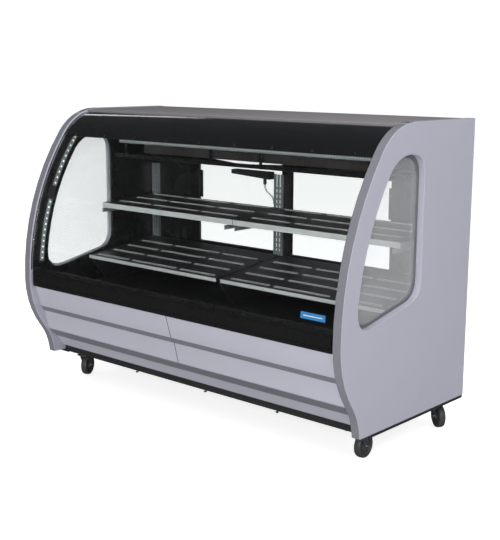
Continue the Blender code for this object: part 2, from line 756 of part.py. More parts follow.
def tub(black):
    floor_front = DEPTH - TUB_FLOOR_SETBACK
    back = GLASS_INSET + RAIL_DEPTH
    rim = RAIL_TOP - 0.0046
    front_rim = reach_at(rim, back) - GAP
    section = [(TUB_REAR, SILL), (TUB_REAR, TUB_BOTTOM), (floor_front, TUB_BOTTOM),
               (reach_at(RAIL_BOTTOM, back) - 0.004, RAIL_BOTTOM - 0.004), (front_rim, rim),
               (front_rim - TUB_FRONT_WALL, rim), (floor_front - 0.030, TUB_FLOOR),
               (TUB_REAR + TUB_WALL, TUB_FLOOR), (TUB_REAR + TUB_WALL, SILL)]
    body = node("insulated_tub", side_prism(section, -BETWEEN_WALLS, BETWEEN_WALLS), black)
    rear = DECK_REAR + 0.006
    front = DECK_REAR + DECK_DEPTH - 0.008
    below = SHELF_SHEET + GAP
    rib = [(rear, TUB_FLOOR - 0.004), (rear, deck_height(rear) - below),
           (front, deck_height(front) - below), (front - 0.012, deck_height(front) - 0.040),
           (front - 0.090, TUB_FLOOR - 0.004)]
    for x in (-RIB_HALF, 0, RIB_HALF):
        fuse(body, side_prism(rib, x - RIB / 2, x + RIB / 2))


def rear_wall(lilac, metal):
    opening_top = HEIGHT - OPENING_DROP
    wall = node("rear_frame", block((-BETWEEN_WALLS, BETWEEN_WALLS), (REAR_SKIN, REAR_WALL),
                                    (SILL + GAP, HEIGHT - TOP_THICKNESS - GAP)), lilac)
    fuse(wall, block((-BETWEEN_WALLS, BETWEEN_WALLS), (REAR_SKIN, REAR_SKIN + REAR_SKIN_SHEET),
                     (TUB_BOTTOM, SILL + 0.002)))
    cut(wall, block((-OPENING_HALF, OPENING_HALF), (-0.02, REAR_WALL + 0.02),
                    (OPENING_BOTTOM, opening_top)))
    half = OPENING_HALF - GAP
    near, far = TRACK_REAR, TRACK_REAR + TRACK_DEPTH
    low = node("door_track_bottom", block((-half, half), (near, far),
                                          (OPENING_BOTTOM + GAP, OPENING_BOTTOM + TRACK_BOTTOM_HEIGHT)), metal)
    high = node("door_track_top", block((-half, half), (near, far),
                                        (opening_top - TRACK_TOP_HEIGHT, opening_top - GAP)), metal)
    for reach in (DOOR_OUTER, DOOR_INNER):
        slot = (reach - TRACK_CLEARANCE, reach + DOOR_THICKNESS + TRACK_CLEARANCE)
        bottom = OPENING_BOTTOM + TRACK_BOTTOM_HEIGHT
        cut(low, block((-half - 0.01, half + 0.01), slot, (bottom - GROOVE_BOTTOM, bottom + 0.01)))
        top = opening_top - TRACK_TOP_HEIGHT
        cut(high, block((-half - 0.01, half + 0.01), slot, (top - 0.01, top + GROOVE_TOP)))


def rectangle(left, right, low, high):
    return [(left, low), (right, low), (right, high), (left, high)]


def sliding_door(name, left, right, reach, grip_edge, frame_mat, glass):
    """A framed pane: the frame's inner edge has a groove that holds the glass."""
    low = OPENING_BOTTOM + TRACK_BOTTOM_HEIGHT - GROOVE_BOTTOM + 0.001
    high = HEIGHT - OPENING_DROP - TRACK_TOP_HEIGHT + GROOVE_TOP - 0.009
    middle = reach + DOOR_THICKNESS / 2
    glass_near = middle - DOOR_PANE / 2
    glass_far = middle + DOOR_PANE / 2
    hole = (left + DOOR_STILE, right - DOOR_STILE, low + DOOR_RAIL, high - DOOR_RAIL)
    pocket = (hole[0] - PANE_BITE, hole[1] + PANE_BITE, hole[2] - PANE_BITE, hole[3] + PANE_BITE)
    outside = (left, right, low, high)
    stations = [(outside, reach), (outside, reach + DOOR_THICKNESS), (hole, reach + DOOR_THICKNESS),
                (hole, glass_far + GAP), (pocket, glass_far + GAP), (pocket, glass_near - GAP),
                (hole, glass_near - GAP), (hole, reach)]
    rings = [[(x, y_of(spot), height) for x, height in rectangle(*edges)] for edges, spot in stations]
    frame = node(f"{name}_frame", rings_body(rings), frame_mat)
    edge = hole[0] if grip_edge < 0 else hole[1]
    grip_top = HEIGHT - OPENING_DROP - GRIP_DROP
    fuse(frame, block((edge + grip_edge * 0.004, edge - grip_edge * GRIP[0]),
                      (reach + 0.0004, glass_near - GAP), (grip_top - GRIP[1], grip_top)))
    trim = GAP
    node(f"{name}_glass", block((pocket[0] + trim, pocket[1] - trim), (glass_near, glass_far),
                                (pocket[2] + trim, pocket[3] - trim)), glass)


def doors(black, glass):
    edge = OPENING_HALF - GAP - 0.001
    overlap = DOOR_OVERLAP / 2
    sliding_door("left_door", -edge, overlap, DOOR_OUTER, -1, black, glass)
    sliding_door("right_door", -overlap, edge, DOOR_INNER, 1, black, glass)


# ---- shelving ------------------------------------------------------------------------------
def slotted_sheet(name, span, rear, depth, rear_height, fall, lip, rows, first_row, pitch, mat):
    """A sheet shelf that falls towards the front, with turned-down edges and rows of slots."""
    left, right = span
    front = rear + depth
    front_height = rear_height - fall
    sheet = SHELF_SHEET
    section = [(rear, rear_height - REAR_LIP), (rear, rear_height), (front, front_height),
               (front, front_height - lip), (front - sheet, front_height - lip),
               (front - sheet, front_height - sheet), (rear + sheet, rear_height - sheet),
               (rear + sheet, rear_height - REAR_LIP)]
    shelf = node(name, side_prism(section, left, right), mat)
    pattern = sum(SLOT_LENGTHS) + SLOT_SPACING * (len(SLOT_LENGTHS) - 1)
    slots = []
    for row in range(rows):
        reach = rear + first_row + pitch * row
        height = rear_height - fall * (reach - rear) / depth
        x = (left + right - pattern) / 2
        for length in SLOT_LENGTHS:
            slots.append(block((x, x + length), (reach - SLOT_WIDTH / 2, reach + SLOT_WIDTH / 2),
                               (height - 0.008, height + 0.008)))
            x += length + SLOT_SPACING
    cut(shelf, merged(slots))


def shelving(chrome, grey):
    outer = WALL_INNER - SHELF_SIDE_GAP
    for name, side in (("left", -1), ("right", 1)):
        inner = side * DECK_JOINT / 2
        span = sorted((side * outer, inner))
        slotted_sheet(f"deck_pan_{name}", span, DECK_REAR, DECK_DEPTH, DECK_REAR_HEIGHT, DECK_FALL,
                      DECK_LIP, DECK_ROWS, DECK_FIRST_ROW, DECK_ROW_PITCH, chrome)
        span = sorted((side * outer, side * SHELF_JOINT / 2))
        slotted_sheet(f"upper_shelf_{name}", span, SHELF_REAR, SHELF_DEPTH, SHELF_REAR_HEIGHT,
                      SHELF_FALL, SHELF_LIP, SHELF_ROWS, SHELF_FIRST_ROW, SHELF_ROW_PITCH, chrome)
    foot = TUB_FLOOR + GAP
    back = REAR_WALL + GAP
    post = (back, back + POST_DEPTH)
    node("centre_post", block((-POST_WIDTH / 2, POST_WIDTH / 2), post, (foot, STANDARD_TOP)), grey)
    standard = (back, back + STANDARD_DEPTH)
    for name, side in (("left", -1), ("right", 1)):
        middle = side * STANDARD_HALF
        node(f"{name}_standard", block((middle - STANDARD_WIDTH / 2, middle + STANDARD_WIDTH / 2),
                                       standard, (foot, STANDARD_TOP)), chrome)
    spots = [("bracket_far_left", -STANDARD_HALF, standard[1]), ("bracket_inner_left", -BRACKET_INNER, post[1]),
             ("bracket_inner_right", BRACKET_INNER, post[1]), ("bracket_far_right", STANDARD_HALF, standard[1])]
    for name, x, face in spots:
        node(name, shelf_bracket(x, face + GAP), chrome)


def shelf_bracket(x, root):
    """A tapering arm whose top edge follows the underside of the shelf."""
    slope = SHELF_FALL / SHELF_DEPTH
    front = SHELF_REAR + SHELF_DEPTH
    lip_back = front - SHELF_SHEET - GAP

    def under(reach):
        return SHELF_REAR_HEIGHT - (reach - SHELF_REAR) * slope - SHELF_SHEET - GAP

    rear_edge = SHELF_REAR + SHELF_SHEET + GAP
    low_rear = SHELF_REAR_HEIGHT - REAR_LIP - GAP
    dip = under(front) - SHELF_LIP + SHELF_SHEET - GAP
    nose = front + BRACKET_OVERHANG
    points = [(root, low_rear), (rear_edge, low_rear), (rear_edge, under(rear_edge)),
              (lip_back, under(lip_back)), (lip_back, dip), (nose, dip), (nose, dip - BRACKET_NOSE),
              (root, low_rear - BRACKET_ROOT)]
    return side_prism(points, x - BRACKET_SHEET / 2, x + BRACKET_SHEET / 2)


# ---- overhead cooling and light ------------------------------------------------------------
def comb(left, right, low, high, count, near, far):
    """A finned block: plates joined by a strip along their foot."""
    pitch = (right - left) / count
    strip = low + (high - low) * 0.2
    points = [(left, low), (right, low), (right, high)]
    for fin in range(count - 1, 0, -1):
        x = left + fin * pitch
        points += [(x + pitch * 0.3, high), (x + pitch * 0.3, strip), (x - pitch * 0.2, strip),
                   (x - pitch * 0.2, high)]
    points.append((left, high))
    return rear_prism(points, near, far)


def tray_rear_height(x):
    """Height of the drip tray's rear edge: it falls from both ends to the drain."""
    low = HEIGHT - TRAY_REAR_LOW_DROP
    high = HEIGHT - TRAY_REAR_HIGH_DROP
    end = -BETWEEN_WALLS if x < DRAIN_X else BETWEEN_WALLS
    return low + (high - low) * (x - DRAIN_X) / (end - DRAIN_X)


def drip_tray():
    """A folded sheet that falls to the rear and from both ends to the drain."""
    front = BAR_REACH - GAP
    lip = HEIGHT - TRAY_FRONT_DROP
    rings = []
    for x in (-BETWEEN_WALLS, DRAIN_X, BETWEEN_WALLS):
        rear = tray_rear_height(x)
        ring = [(BEHIND_DISPLAY, rear), (BEHIND_DISPLAY, rear + TRAY_LIP), (BEHIND_DISPLAY + TRAY_SHEET, rear + TRAY_LIP),
                (BEHIND_DISPLAY + TRAY_SHEET, rear + TRAY_SHEET), (front - TRAY_SHEET, lip - TRAY_LIP + TRAY_SHEET),
                (front - TRAY_SHEET, lip), (front, lip), (front, lip - TRAY_LIP)]
        rings.append([(x, y_of(reach), height) for reach, height in ring])
    bm = bmesh.new()
    loops = [[bm.verts.new(point) for point in ring] for ring in rings]
    count = len(loops[0])
    for first, second in zip(loops, loops[1:]):
        for step in range(count):
            other = (step + 1) % count
            bm.faces.new((first[step], first[other], second[other], second[step]))
    bm.faces.new(loops[0])
    bm.faces.new(loops[-1][::-1])
    return finish(bm)


def overhead(black, chrome, metal, hose_mat, rubber):
    node("drip_tray", drip_tray(), black, smooth=False)
    low = HEIGHT - BAR_DROP
    bar = node("light_bar", block((-BAR_HALF, BAR_HALF), (BAR_REACH + HANGER_SHEET, BAR_REACH + BAR_DEPTH),
                                  (low, low + BAR_HEIGHT)), chrome)
    for x in HANGERS:
        fuse(bar, block((x - HANGER_WIDTH / 2, x + HANGER_WIDTH / 2), (BAR_REACH, BAR_REACH + HANGER_SHEET + 0.002),
                        (HEIGHT - TRAY_FRONT_DROP - TRAY_LIP, HEIGHT - TOP_THICKNESS - GAP)))
    coil_top = HEIGHT - COIL_DROPS[0]
    coil = node("evaporator_coil", comb(-COIL_HALF, COIL_HALF, HEIGHT - COIL_DROPS[1], coil_top,
                                        COIL_FINS, *COIL_REACH), metal)
    for side in (-1, 1):
        end = side * (COIL_HALF - 0.006)
        fuse(coil, block((end - 0.004, end + 0.004), (COIL_REACH[0] + 0.060, COIL_REACH[1] - 0.060),
                         (coil_top - 0.020, HEIGHT - TOP_THICKNESS - GAP)))
    top = HEIGHT - TROUGH_DROP
    left, right = TROUGH
    near, far = BEHIND_DISPLAY, BEHIND_DISPLAY + TROUGH_DEPTH
    section = [(left, top), (left, top - TROUGH_HEIGHTS[0]), (right, top - TROUGH_HEIGHTS[1]), (right, top)]
    trough = node("drip_trough", rear_prism(section, near, far), black)
    wall = 0.003
    inside = [(left + wall, top + 0.01), (left + wall, top - TROUGH_HEIGHTS[0] + wall),
              (right - wall, top - TROUGH_HEIGHTS[1] + wall), (right - wall, top + 0.01)]
    cut(trough, rear_prism(inside, near + wall, far - wall))
    middle = (near + far) / 2
    spout_top = top - TROUGH_HEIGHTS[1] + 0.006
    spout_low = top - TROUGH_HEIGHTS[1] - SPOUT_LENGTH
    spout = turned([(0, spout_low), (SPOUT_RADIUS, spout_low), (SPOUT_RADIUS, spout_top), (0, spout_top)], 14)
    fuse(trough, moved(spout, Matrix.Translation((SPOUT_X, y_of(middle), 0))))
    post_side = -POST_WIDTH / 2 - GAP
    post_front = REAR_WALL + GAP + POST_DEPTH
    hose_end = post_side - HOSE_RADIUS - 0.001
    hose_reach = post_front - POST_DEPTH / 2
    route = [(SPOUT_X, y_of(middle), spout_low - GAP), (SPOUT_X, y_of(middle), spout_low - 0.014),
             (SPOUT_X + 0.010, y_of(middle - 0.003), spout_low - 0.032),
             (hose_end - 0.008, y_of(hose_reach + 0.004), spout_low - 0.055),
             (hose_end, y_of(hose_reach), spout_low - 0.085), (hose_end, y_of(hose_reach), SHELF_REAR_HEIGHT + 0.012)]
    tube("drain_hose", route, HOSE_RADIUS, hose_mat)
    for name, side in (("left", -1), ("right", 1)):
        front = front_points(LED_OFFSET, LED_TOP, LED_BOTTOM)
        back = front_points(LED_OFFSET + LED_WIDTH, LED_TOP, LED_BOTTOM)
        node(f"{name}_led_strip", side_prism(front + back[::-1], side * (BETWEEN_WALLS - LED_THICKNESS),
                                             side * BETWEEN_WALLS), rubber)


# ---- machine compartment -------------------------------------------------------------------
def machine_compartment(black, metal, lilac, copper, grey):
    floor = BASE_TOP
    left, right = CONDENSER_X
    node("condenser_coil", comb(left, right, floor, floor + CONDENSER_HEIGHT, CONDENSER_FINS,
                                *CONDENSER_REACH), metal)
    centre = Vector(((left + right) / 2, 0, floor + CONDENSER_HEIGHT / 2))
    pivot = Vector((centre.x, y_of(FAN_REACH + FAN_DEPTH / 2), centre.z))
    face_back = Matrix.Rotation(math.radians(90), 4, "X")
    bore = FAN_SHAFT + GAP
    hub = turned([(bore, -FAN_DEPTH / 2), (FAN_HUB, -FAN_DEPTH / 2), (FAN_HUB, FAN_DEPTH / 2),
                  (bore, FAN_DEPTH / 2)], 16)
    rotor = node("fan_rotor", moved(hub, Matrix.Translation(pivot) @ face_back), metal, pivot, smooth=True)
    for blade in range(FAN_BLADES):
        turn = Matrix.Rotation(2 * math.pi * blade / FAN_BLADES, 4, "Y")
        fuse(rotor, moved(fan_blade(), Matrix.Translation(pivot) @ turn))
    motor_near = FAN_REACH + FAN_DEPTH + 0.004
    body = turned([(0, 0), (MOTOR_RADIUS * 0.8, 0), (MOTOR_RADIUS, 0.008), (MOTOR_RADIUS, MOTOR_LENGTH - 0.008),
                   (MOTOR_RADIUS * 0.8, MOTOR_LENGTH), (0, MOTOR_LENGTH)], 18)
    motor = node("fan_motor", moved(body, Matrix.Translation((pivot.x, y_of(motor_near), pivot.z)) @ face_back),
                 black, smooth=True)
    shaft = turned([(0, -FAN_DEPTH), (FAN_SHAFT, -FAN_DEPTH), (FAN_SHAFT, 0.010), (0, 0.010)], 16)
    fuse(motor, moved(shaft, Matrix.Translation((pivot.x, y_of(motor_near), pivot.z)) @ face_back))
    fuse(motor, block((pivot.x - 0.012, pivot.x + 0.012), (motor_near + 0.020, motor_near + 0.045),
                      (floor, pivot.z)))
    fuse(motor, block((CROSS_BARS[0] - 0.012, CROSS_BARS[1] + 0.012), (motor_near + 0.018, motor_near + 0.047),
                      (floor, floor + 0.004)))
    compressor(floor, black)
    line_top = floor + COMPRESSOR_HEIGHT + 0.020
    inlet = floor + CONDENSER_HEIGHT * 0.6
    coil_middle = sum(CONDENSER_REACH) / 2
    route = [(COMPRESSOR_X, y_of(COMPRESSOR_REACH), floor + COMPRESSOR_HEIGHT + GAP),
             (COMPRESSOR_X, y_of(COMPRESSOR_REACH), line_top - 0.006),
             (COMPRESSOR_X - 0.060, y_of(COMPRESSOR_REACH - 0.050), line_top),
             (right + 0.070, y_of(0.150), line_top - 0.010),
             (right + 0.055, y_of(coil_middle + 0.010), inlet + 0.035),
             (right + 0.030, y_of(coil_middle), inlet), (right + 0.001, y_of(coil_middle), inlet)]
    tube("refrigerant_line", route, LINE_RADIUS, copper)
    rear_covers(black, lilac, grey)


def fan_blade():
    """A pitched blade from the hub outwards along X, in the fan's own frame."""
    half = FAN_DEPTH * 0.42
    root, tip = FAN_HUB * 0.6, FAN_RADIUS
    thick = 0.0012
    corners = []
    for x, width in ((root, 0.014), (tip, 0.030)):
        for z, y in ((-width, -half), (width, half)):
            corners.append(((x, y - thick, z), (x, y + thick, z)))
    bm = bmesh.new()
    inner_low, inner_high, outer_low, outer_high = [[bm.verts.new(spot) for spot in pair] for pair in corners]
    ring = (inner_low, outer_low, outer_high, inner_high)
    bm.faces.new([pair[0] for pair in ring])
    bm.faces.new([pair[1] for pair in ring][::-1])
    for first, second in zip(ring, ring[1:] + ring[:1]):
        bm.faces.new((first[0], first[1], second[1], second[0]))
    return finish(bm)


def compressor(floor, black):
    radius, height = COMPRESSOR_RADIUS, COMPRESSOR_HEIGHT
    shell = turned([(0, 0.020), (radius * 0.7, 0.022), (radius * 0.95, 0.040), (radius * 0.97, height * 0.5),
                    (radius, height * 0.52), (radius, height * 0.56), (radius * 0.96, height * 0.58),
                    (radius * 0.90, height * 0.80), (radius * 0.60, height * 0.95), (0, height)], 20)
    place = Matrix.Translation((COMPRESSOR_X, y_of(COMPRESSOR_REACH), floor))
    body = node("compressor", moved(shell, place), black, smooth=True)
    fuse(body, block((CROSS_BARS[1] - 0.012, CROSS_BARS[2] + 0.012),
                     (COMPRESSOR_REACH - 0.070, COMPRESSOR_REACH + 0.070), (floor, floor + 0.004)))
    for side in (-1, 1):
        for reach in (COMPRESSOR_REACH - 0.045, COMPRESSOR_REACH + 0.045):
            x = COMPRESSOR_X + side * 0.040
            fuse(body, block((x - 0.010, x + 0.010), (reach - 0.010, reach + 0.010), (floor + 0.003, floor + 0.032)))


def rear_covers(black, lilac, grey):
    near = REAR_SKIN
    far = REAR_SKIN + GRILLE_SHEET
    low = BASE_TOP + GAP
    grille = node("rear_grille", block((-BETWEEN_PANELS, GRILLE_SPLIT), (near, far), (low, GRILLE_TOP)), lilac)
    slots = []
    for bay in (-0.72, -0.40, -0.08, 0.24):
        for row in range(GRILLE_SLOTS):
            height = low + 0.030 + row * GRILLE_SLOT_PITCH
            slots.append(block((bay - 0.11, bay + 0.11), (near - 0.01, far + 0.01),
                               (height - GRILLE_SLOT_HEIGHT / 2, height + GRILLE_SLOT_HEIGHT / 2)))
    cut(grille, merged(slots))
    box = node("control_box", block((GRILLE_SPLIT + GAP, BETWEEN_PANELS), (near, far), (low, GRILLE_TOP)), black)
    fuse(box, block((GRILLE_SPLIT + 0.020, BETWEEN_PANELS - FRAME_BAR - 0.010), (far - 0.001, CONTROL_FACE + CONTROL_DEPTH),
                    (CONTROL_BOTTOM, CONTROL_TOP)))
    cut(box, block((GRILLE_SPLIT + 0.026, BETWEEN_PANELS - FRAME_BAR - 0.016), (near - 0.01, CONTROL_FACE),
                   (CONTROL_BOTTOM + 0.006, CONTROL_TOP - 0.006)))
    width, depth, height = SWITCH_SIZE
    x, level = SWITCH_PLACE
    pocket = SWITCH_POCKET
    cut(box, block((x - width / 2 - pocket, x + width / 2 + pocket), (CONTROL_FACE - 0.01, CONTROL_FACE + 0.012),
                   (level - height / 2 - pocket, level + height / 2 + pocket)))
    rocker_pivot = Vector((x, y_of(CONTROL_FACE + 0.002), level))
    rocker = block((x - width / 2, x + width / 2), (CONTROL_FACE - 0.003, CONTROL_FACE + depth - 0.004),
                   (level - height / 2, level + height / 2))
    tilt = Matrix.Translation(rocker_pivot) @ Matrix.Rotation(math.radians(SWITCH_TILT), 4, "X")
    moved(rocker, tilt @ Matrix.Translation(-rocker_pivot))
    node("light_switch", rocker, grey, rocker_pivot)
    x, level = KNOB_PLACE
    knob_pivot = Vector((x, y_of(CONTROL_FACE - GAP), level))
    cap = turned([(0, 0), (KNOB_RADIUS, 0), (KNOB_RADIUS, 0.003), (KNOB_RADIUS * 0.8, 0.005),
                  (KNOB_RADIUS * 0.72, KNOB_DEPTH), (0, KNOB_DEPTH)], 18)
    knob = node("thermostat_knob", moved(cap, Matrix.Translation(knob_pivot) @ Matrix.Rotation(math.radians(-90), 4, "X")),
                grey, knob_pivot, smooth=True)
    cut(knob, block((x - 0.0012, x + 0.0012), (CONTROL_FACE - KNOB_DEPTH - 0.01, CONTROL_FACE - KNOB_DEPTH + 0.002),
                    (level + 0.004, level + KNOB_RADIUS)))


def build():
    clear_scene()
    lilac = material("lilac_grey_paint", (0.42, 0.42, 0.50), 0.35)
    black = material("black_paint", (0.012, 0.012, 0.014), 0.35)
    print_black = material("black_screen_print", (0.006, 0.006, 0.008), 0.12)
    steel = material("polished_top", (0.45, 0.42, 0.46), 0.12, 0.9)
    chrome = material("bright_steel", (0.60, 0.63, 0.63), 0.18, 1.0)
    metal = material("plain_aluminium", (0.62, 0.63, 0.65), 0.40, 1.0)
    grey = material("grey_plastic", (0.45, 0.46, 0.46), 0.50)
    rubber = material("black_rubber", (0.015, 0.015, 0.017), 0.65)
    zinc = material("zinc_plate", (0.55, 0.56, 0.58), 0.35, 1.0)
    glass = material("clear_glass", (0.90, 0.95, 0.94), 0.03, 0.0, 0.35)
    copper = material("copper_pipe", (0.72, 0.38, 0.24), 0.35, 1.0)
    base_frame(black)
    for name, x, reach, roll in caster_spots():
        caster(name, x, reach, roll, zinc, rubber)
    tub(black)
    end_walls(lilac, black, rubber, glass)
    top_and_glass(steel, black, glass, print_black)
    front_rail_and_kick(black, lilac)
    rear_wall(lilac, metal)
    doors(black, glass)
    shelving(chrome, grey)
    overhead(black, chrome, metal, grey, rubber)
    machine_compartment(black, metal, lilac, copper, grey)


build()
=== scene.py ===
# %% [markdown]
# # A refrigerated deli case
# This lesson dresses a measured frame of a deli case: painted end walls with windows, a curved glass
# that lifts, slotted shelves under small lamps, sliding doors at the back, a cooling machine below
# and four casters. The frame gives every size and place, and each cell adds one piece or finish.

# %% Load the frame
import json
import math

import bpy
from mathutils import Matrix, Vector


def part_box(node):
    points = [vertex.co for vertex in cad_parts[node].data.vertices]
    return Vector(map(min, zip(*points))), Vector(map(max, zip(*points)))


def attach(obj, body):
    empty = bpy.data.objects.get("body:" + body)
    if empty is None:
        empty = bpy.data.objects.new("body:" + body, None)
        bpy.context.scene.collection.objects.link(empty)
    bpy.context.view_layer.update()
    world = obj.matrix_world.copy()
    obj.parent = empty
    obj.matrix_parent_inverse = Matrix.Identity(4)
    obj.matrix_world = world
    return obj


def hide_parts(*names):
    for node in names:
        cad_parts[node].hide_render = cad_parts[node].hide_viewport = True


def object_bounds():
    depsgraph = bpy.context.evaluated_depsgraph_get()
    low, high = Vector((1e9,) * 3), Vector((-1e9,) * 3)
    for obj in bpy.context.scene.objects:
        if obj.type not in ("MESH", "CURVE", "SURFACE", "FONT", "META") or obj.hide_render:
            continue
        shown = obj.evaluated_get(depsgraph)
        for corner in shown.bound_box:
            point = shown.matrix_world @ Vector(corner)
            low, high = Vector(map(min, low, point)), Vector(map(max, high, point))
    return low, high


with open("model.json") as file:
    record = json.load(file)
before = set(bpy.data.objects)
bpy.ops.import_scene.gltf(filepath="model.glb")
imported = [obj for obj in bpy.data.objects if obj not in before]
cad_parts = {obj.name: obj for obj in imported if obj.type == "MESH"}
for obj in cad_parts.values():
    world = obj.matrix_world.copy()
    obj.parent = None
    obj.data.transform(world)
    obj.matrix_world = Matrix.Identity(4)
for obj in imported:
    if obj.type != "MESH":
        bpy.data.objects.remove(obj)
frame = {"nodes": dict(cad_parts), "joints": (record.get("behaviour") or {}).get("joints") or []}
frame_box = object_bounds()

# %% [markdown]
# ## Sizes that several pieces share
# The front of the case is one smooth line: a flat top, a tight shoulder, a long front and a round
# belly. It can be traced point by point, but it is really made of arcs, and arcs let the glass be
# spun in one go. A place on the side is given by its reach, the distance forward of the rear face.

# %% The side profile
WIDTH, DEPTH, HEIGHT = (frame_box[1] - frame_box[0])
TOP_LENGTH = 0.443
SHOULDER_RADIUS = 0.255
BELLY_HEIGHT = 0.515
run, drop = DEPTH - TOP_LENGTH, HEIGHT - BELLY_HEIGHT
FRONT_RADIUS = (run ** 2 + drop ** 2 - 2 * drop * SHOULDER_RADIUS) / (2 * (run - SHOULDER_RADIUS))
TURN = math.atan2(FRONT_RADIUS - run, drop - SHOULDER_RADIUS)
SHOULDER = (TOP_LENGTH, HEIGHT - SHOULDER_RADIUS)
FRONT = (DEPTH - FRONT_RADIUS, BELLY_HEIGHT)
REAR_FACE = frame_box[1].y


def at(x, reach, height):
    return Vector((x, REAR_FACE - reach, height))


def front_heading(height, inset):
    """The heading of the outline at a height, moved inwards by inset: 0 is level, 90 is straight down."""
    on_shoulder = (height - SHOULDER[1]) / (SHOULDER_RADIUS - inset)
    if on_shoulder > math.cos(TURN):
        return math.acos(min(1.0, on_shoulder))
    return math.acos((height - FRONT[1]) / (FRONT_RADIUS - inset))


def front_spot(x, heading, inset):
    centre, radius = (SHOULDER, SHOULDER_RADIUS) if heading < TURN else (FRONT, FRONT_RADIUS)
    size = radius - inset
    return at(x, centre[0] + size * math.sin(heading), centre[1] + size * math.cos(heading))


print(f"{WIDTH:.3f} m wide, front radius {FRONT_RADIUS:.3f} m")
print(f"the shoulder turns {math.degrees(TURN):.1f} degrees")

# %% [markdown]
# ## Working by hand, in code
# Every operator acts on what is selected, so each helper clears the selection first, picks one
# object or a few faces, does one thing and leaves the object in object mode.

# %% Selecting and finishing
def only(obj):
    bpy.ops.object.select_all(action="DESELECT")
    obj.select_set(True)
    bpy.context.view_layer.objects.active = obj
    return obj


def pick_faces(obj, wanted):
    only(obj)
    bpy.context.tool_settings.mesh_select_mode = (False, False, True)
    for part in (obj.data.vertices, obj.data.edges):
        part.foreach_set("select", [False] * len(part))
    obj.data.polygons.foreach_set("select", [bool(wanted(face)) for face in obj.data.polygons])
    bpy.ops.object.mode_set(mode="EDIT")


def pick_verts(obj, wanted):
    only(obj)
    bpy.context.tool_settings.mesh_select_mode = (True, False, False)
    for part in (obj.data.polygons, obj.data.edges):
        part.foreach_set("select", [False] * len(part))
    obj.data.vertices.foreach_set("select", [bool(wanted(vertex)) for vertex in obj.data.vertices])
    bpy.ops.object.mode_set(mode="EDIT")


def pick_all(obj):
    only(obj)
    bpy.ops.object.mode_set(mode="EDIT")
    bpy.ops.mesh.select_all(action="SELECT")


def done():
    bpy.ops.object.mode_set(mode="OBJECT")


def settle(obj):
    only(obj)
    bpy.ops.object.transform_apply(location=True, rotation=True, scale=True)
    return obj


def face_out(obj):
    pick_all(obj)
    bpy.ops.mesh.remove_doubles(threshold=0.00001)
    bpy.ops.mesh.normals_make_consistent(inside=False)
    done()
    return obj


def soften(obj, width, segments=2, angle=32):
    """Rounds the sharp edges and shades the rest smooth."""
    only(obj)
    bpy.ops.object.shade_smooth_by_angle(angle=math.radians(angle))
    step = obj.modifiers.new("edges", "BEVEL")
    step.width = width
    step.segments = segments
    step.limit_method = "ANGLE"
    step.angle_limit = math.radians(angle)
    step.harden_normals = True
    bpy.ops.object.modifier_apply(modifier=step.name)
    return obj


def join(name, parts):
    bpy.ops.object.select_all(action="DESELECT")
    for part in parts:
        part.select_set(True)
    bpy.context.view_layer.objects.active = parts[0]
    bpy.ops.object.join()
    parts[0].name = name
    return parts[0]


def twin(obj, shift=(0, 0, 0), turn=None):
    """A copy with its own mesh, moved and turned in the mesh."""
    copy = bpy.data.objects.new(obj.name, obj.data.copy())
    bpy.context.scene.collection.objects.link(copy)
    place = Matrix.Translation(Vector(shift))
    copy.data.transform(place if turn is None else place @ turn)
    return copy


def hand_over(obj, finish, body="cabinet", replaces=()):
    """Gives a finished piece its material and the body it moves with, and hides the nodes it replaces."""
    obj.data.materials.clear()
    for one in finish if isinstance(finish, (list, tuple)) else [finish]:
        obj.data.materials.append(one)
    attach(obj, body)
    if replaces:
        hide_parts(*replaces)
    return obj


# %% [markdown]
# ## Two ways to begin a piece
# A new piece begins as a block or a round bar of the right size and is then shaped. A piece whose
# shape the frame already has begins as a copy of that node: its loose triangles are merged and
# flat faces joined, so that its edges can be rounded as folded and machined edges really are.

# %% Blocks, bars and copies of the frame
def block(name, low, high, edge=0.0008, segments=2):
    low, high = Vector(low), Vector(high)
    bpy.ops.object.select_all(action="DESELECT")
    bpy.ops.mesh.primitive_cube_add(size=1, location=(low + high) / 2)
    obj = bpy.context.object
    obj.name = name
    obj.scale = [abs(value) for value in high - low]
    settle(obj)
    return soften(obj, edge, segments) if edge else obj


AIM = {"X": (0, math.pi / 2, 0), "Y": (math.pi / 2, 0, 0), "Z": (0, 0, 0)}


def bar(name, centre, radius, length, axis="Z", sides=24, edge=0.0006):
    bpy.ops.object.select_all(action="DESELECT")
    bpy.ops.mesh.primitive_cylinder_add(vertices=sides, radius=radius, depth=length,
                                        location=centre, rotation=AIM[axis])
    obj = bpy.context.object
    obj.name = name
    settle(obj)
    return soften(obj, edge) if edge else obj


def finished(node, edge=0.0008, segments=2, angle=32, flat=0.2):
    """A merged copy of a node with its edges rounded."""
    mesh = frame["nodes"][node].data.copy()
    obj = bpy.data.objects.new(f"{node}_finish", mesh)
    bpy.context.scene.collection.objects.link(obj)
    pick_all(obj)
    bpy.ops.mesh.customdata_custom_splitnormals_clear()
    bpy.ops.mesh.remove_doubles(threshold=0.00002)
    bpy.ops.mesh.dissolve_limited(angle_limit=math.radians(flat))
    done()
    return soften(obj, edge, segments, angle) if edge else smooth(obj, angle)


def smooth(obj, angle=32):
    only(obj)
    bpy.ops.object.shade_smooth_by_angle(angle=math.radians(angle))
    return obj


test = finished("light_switch")
print("a rounded copy has", len(test.data.polygons), "faces")
bpy.data.objects.remove(test)

# %% [markdown]
# ## Effects that several finishes share
# Paint has a faint orange peel, sheet steel a grain along its rolling direction, and everything
# that stands in a shop has a little dust and handling. Each is a node group with named inputs, so
# that one effect serves many finishes, each with its own values.

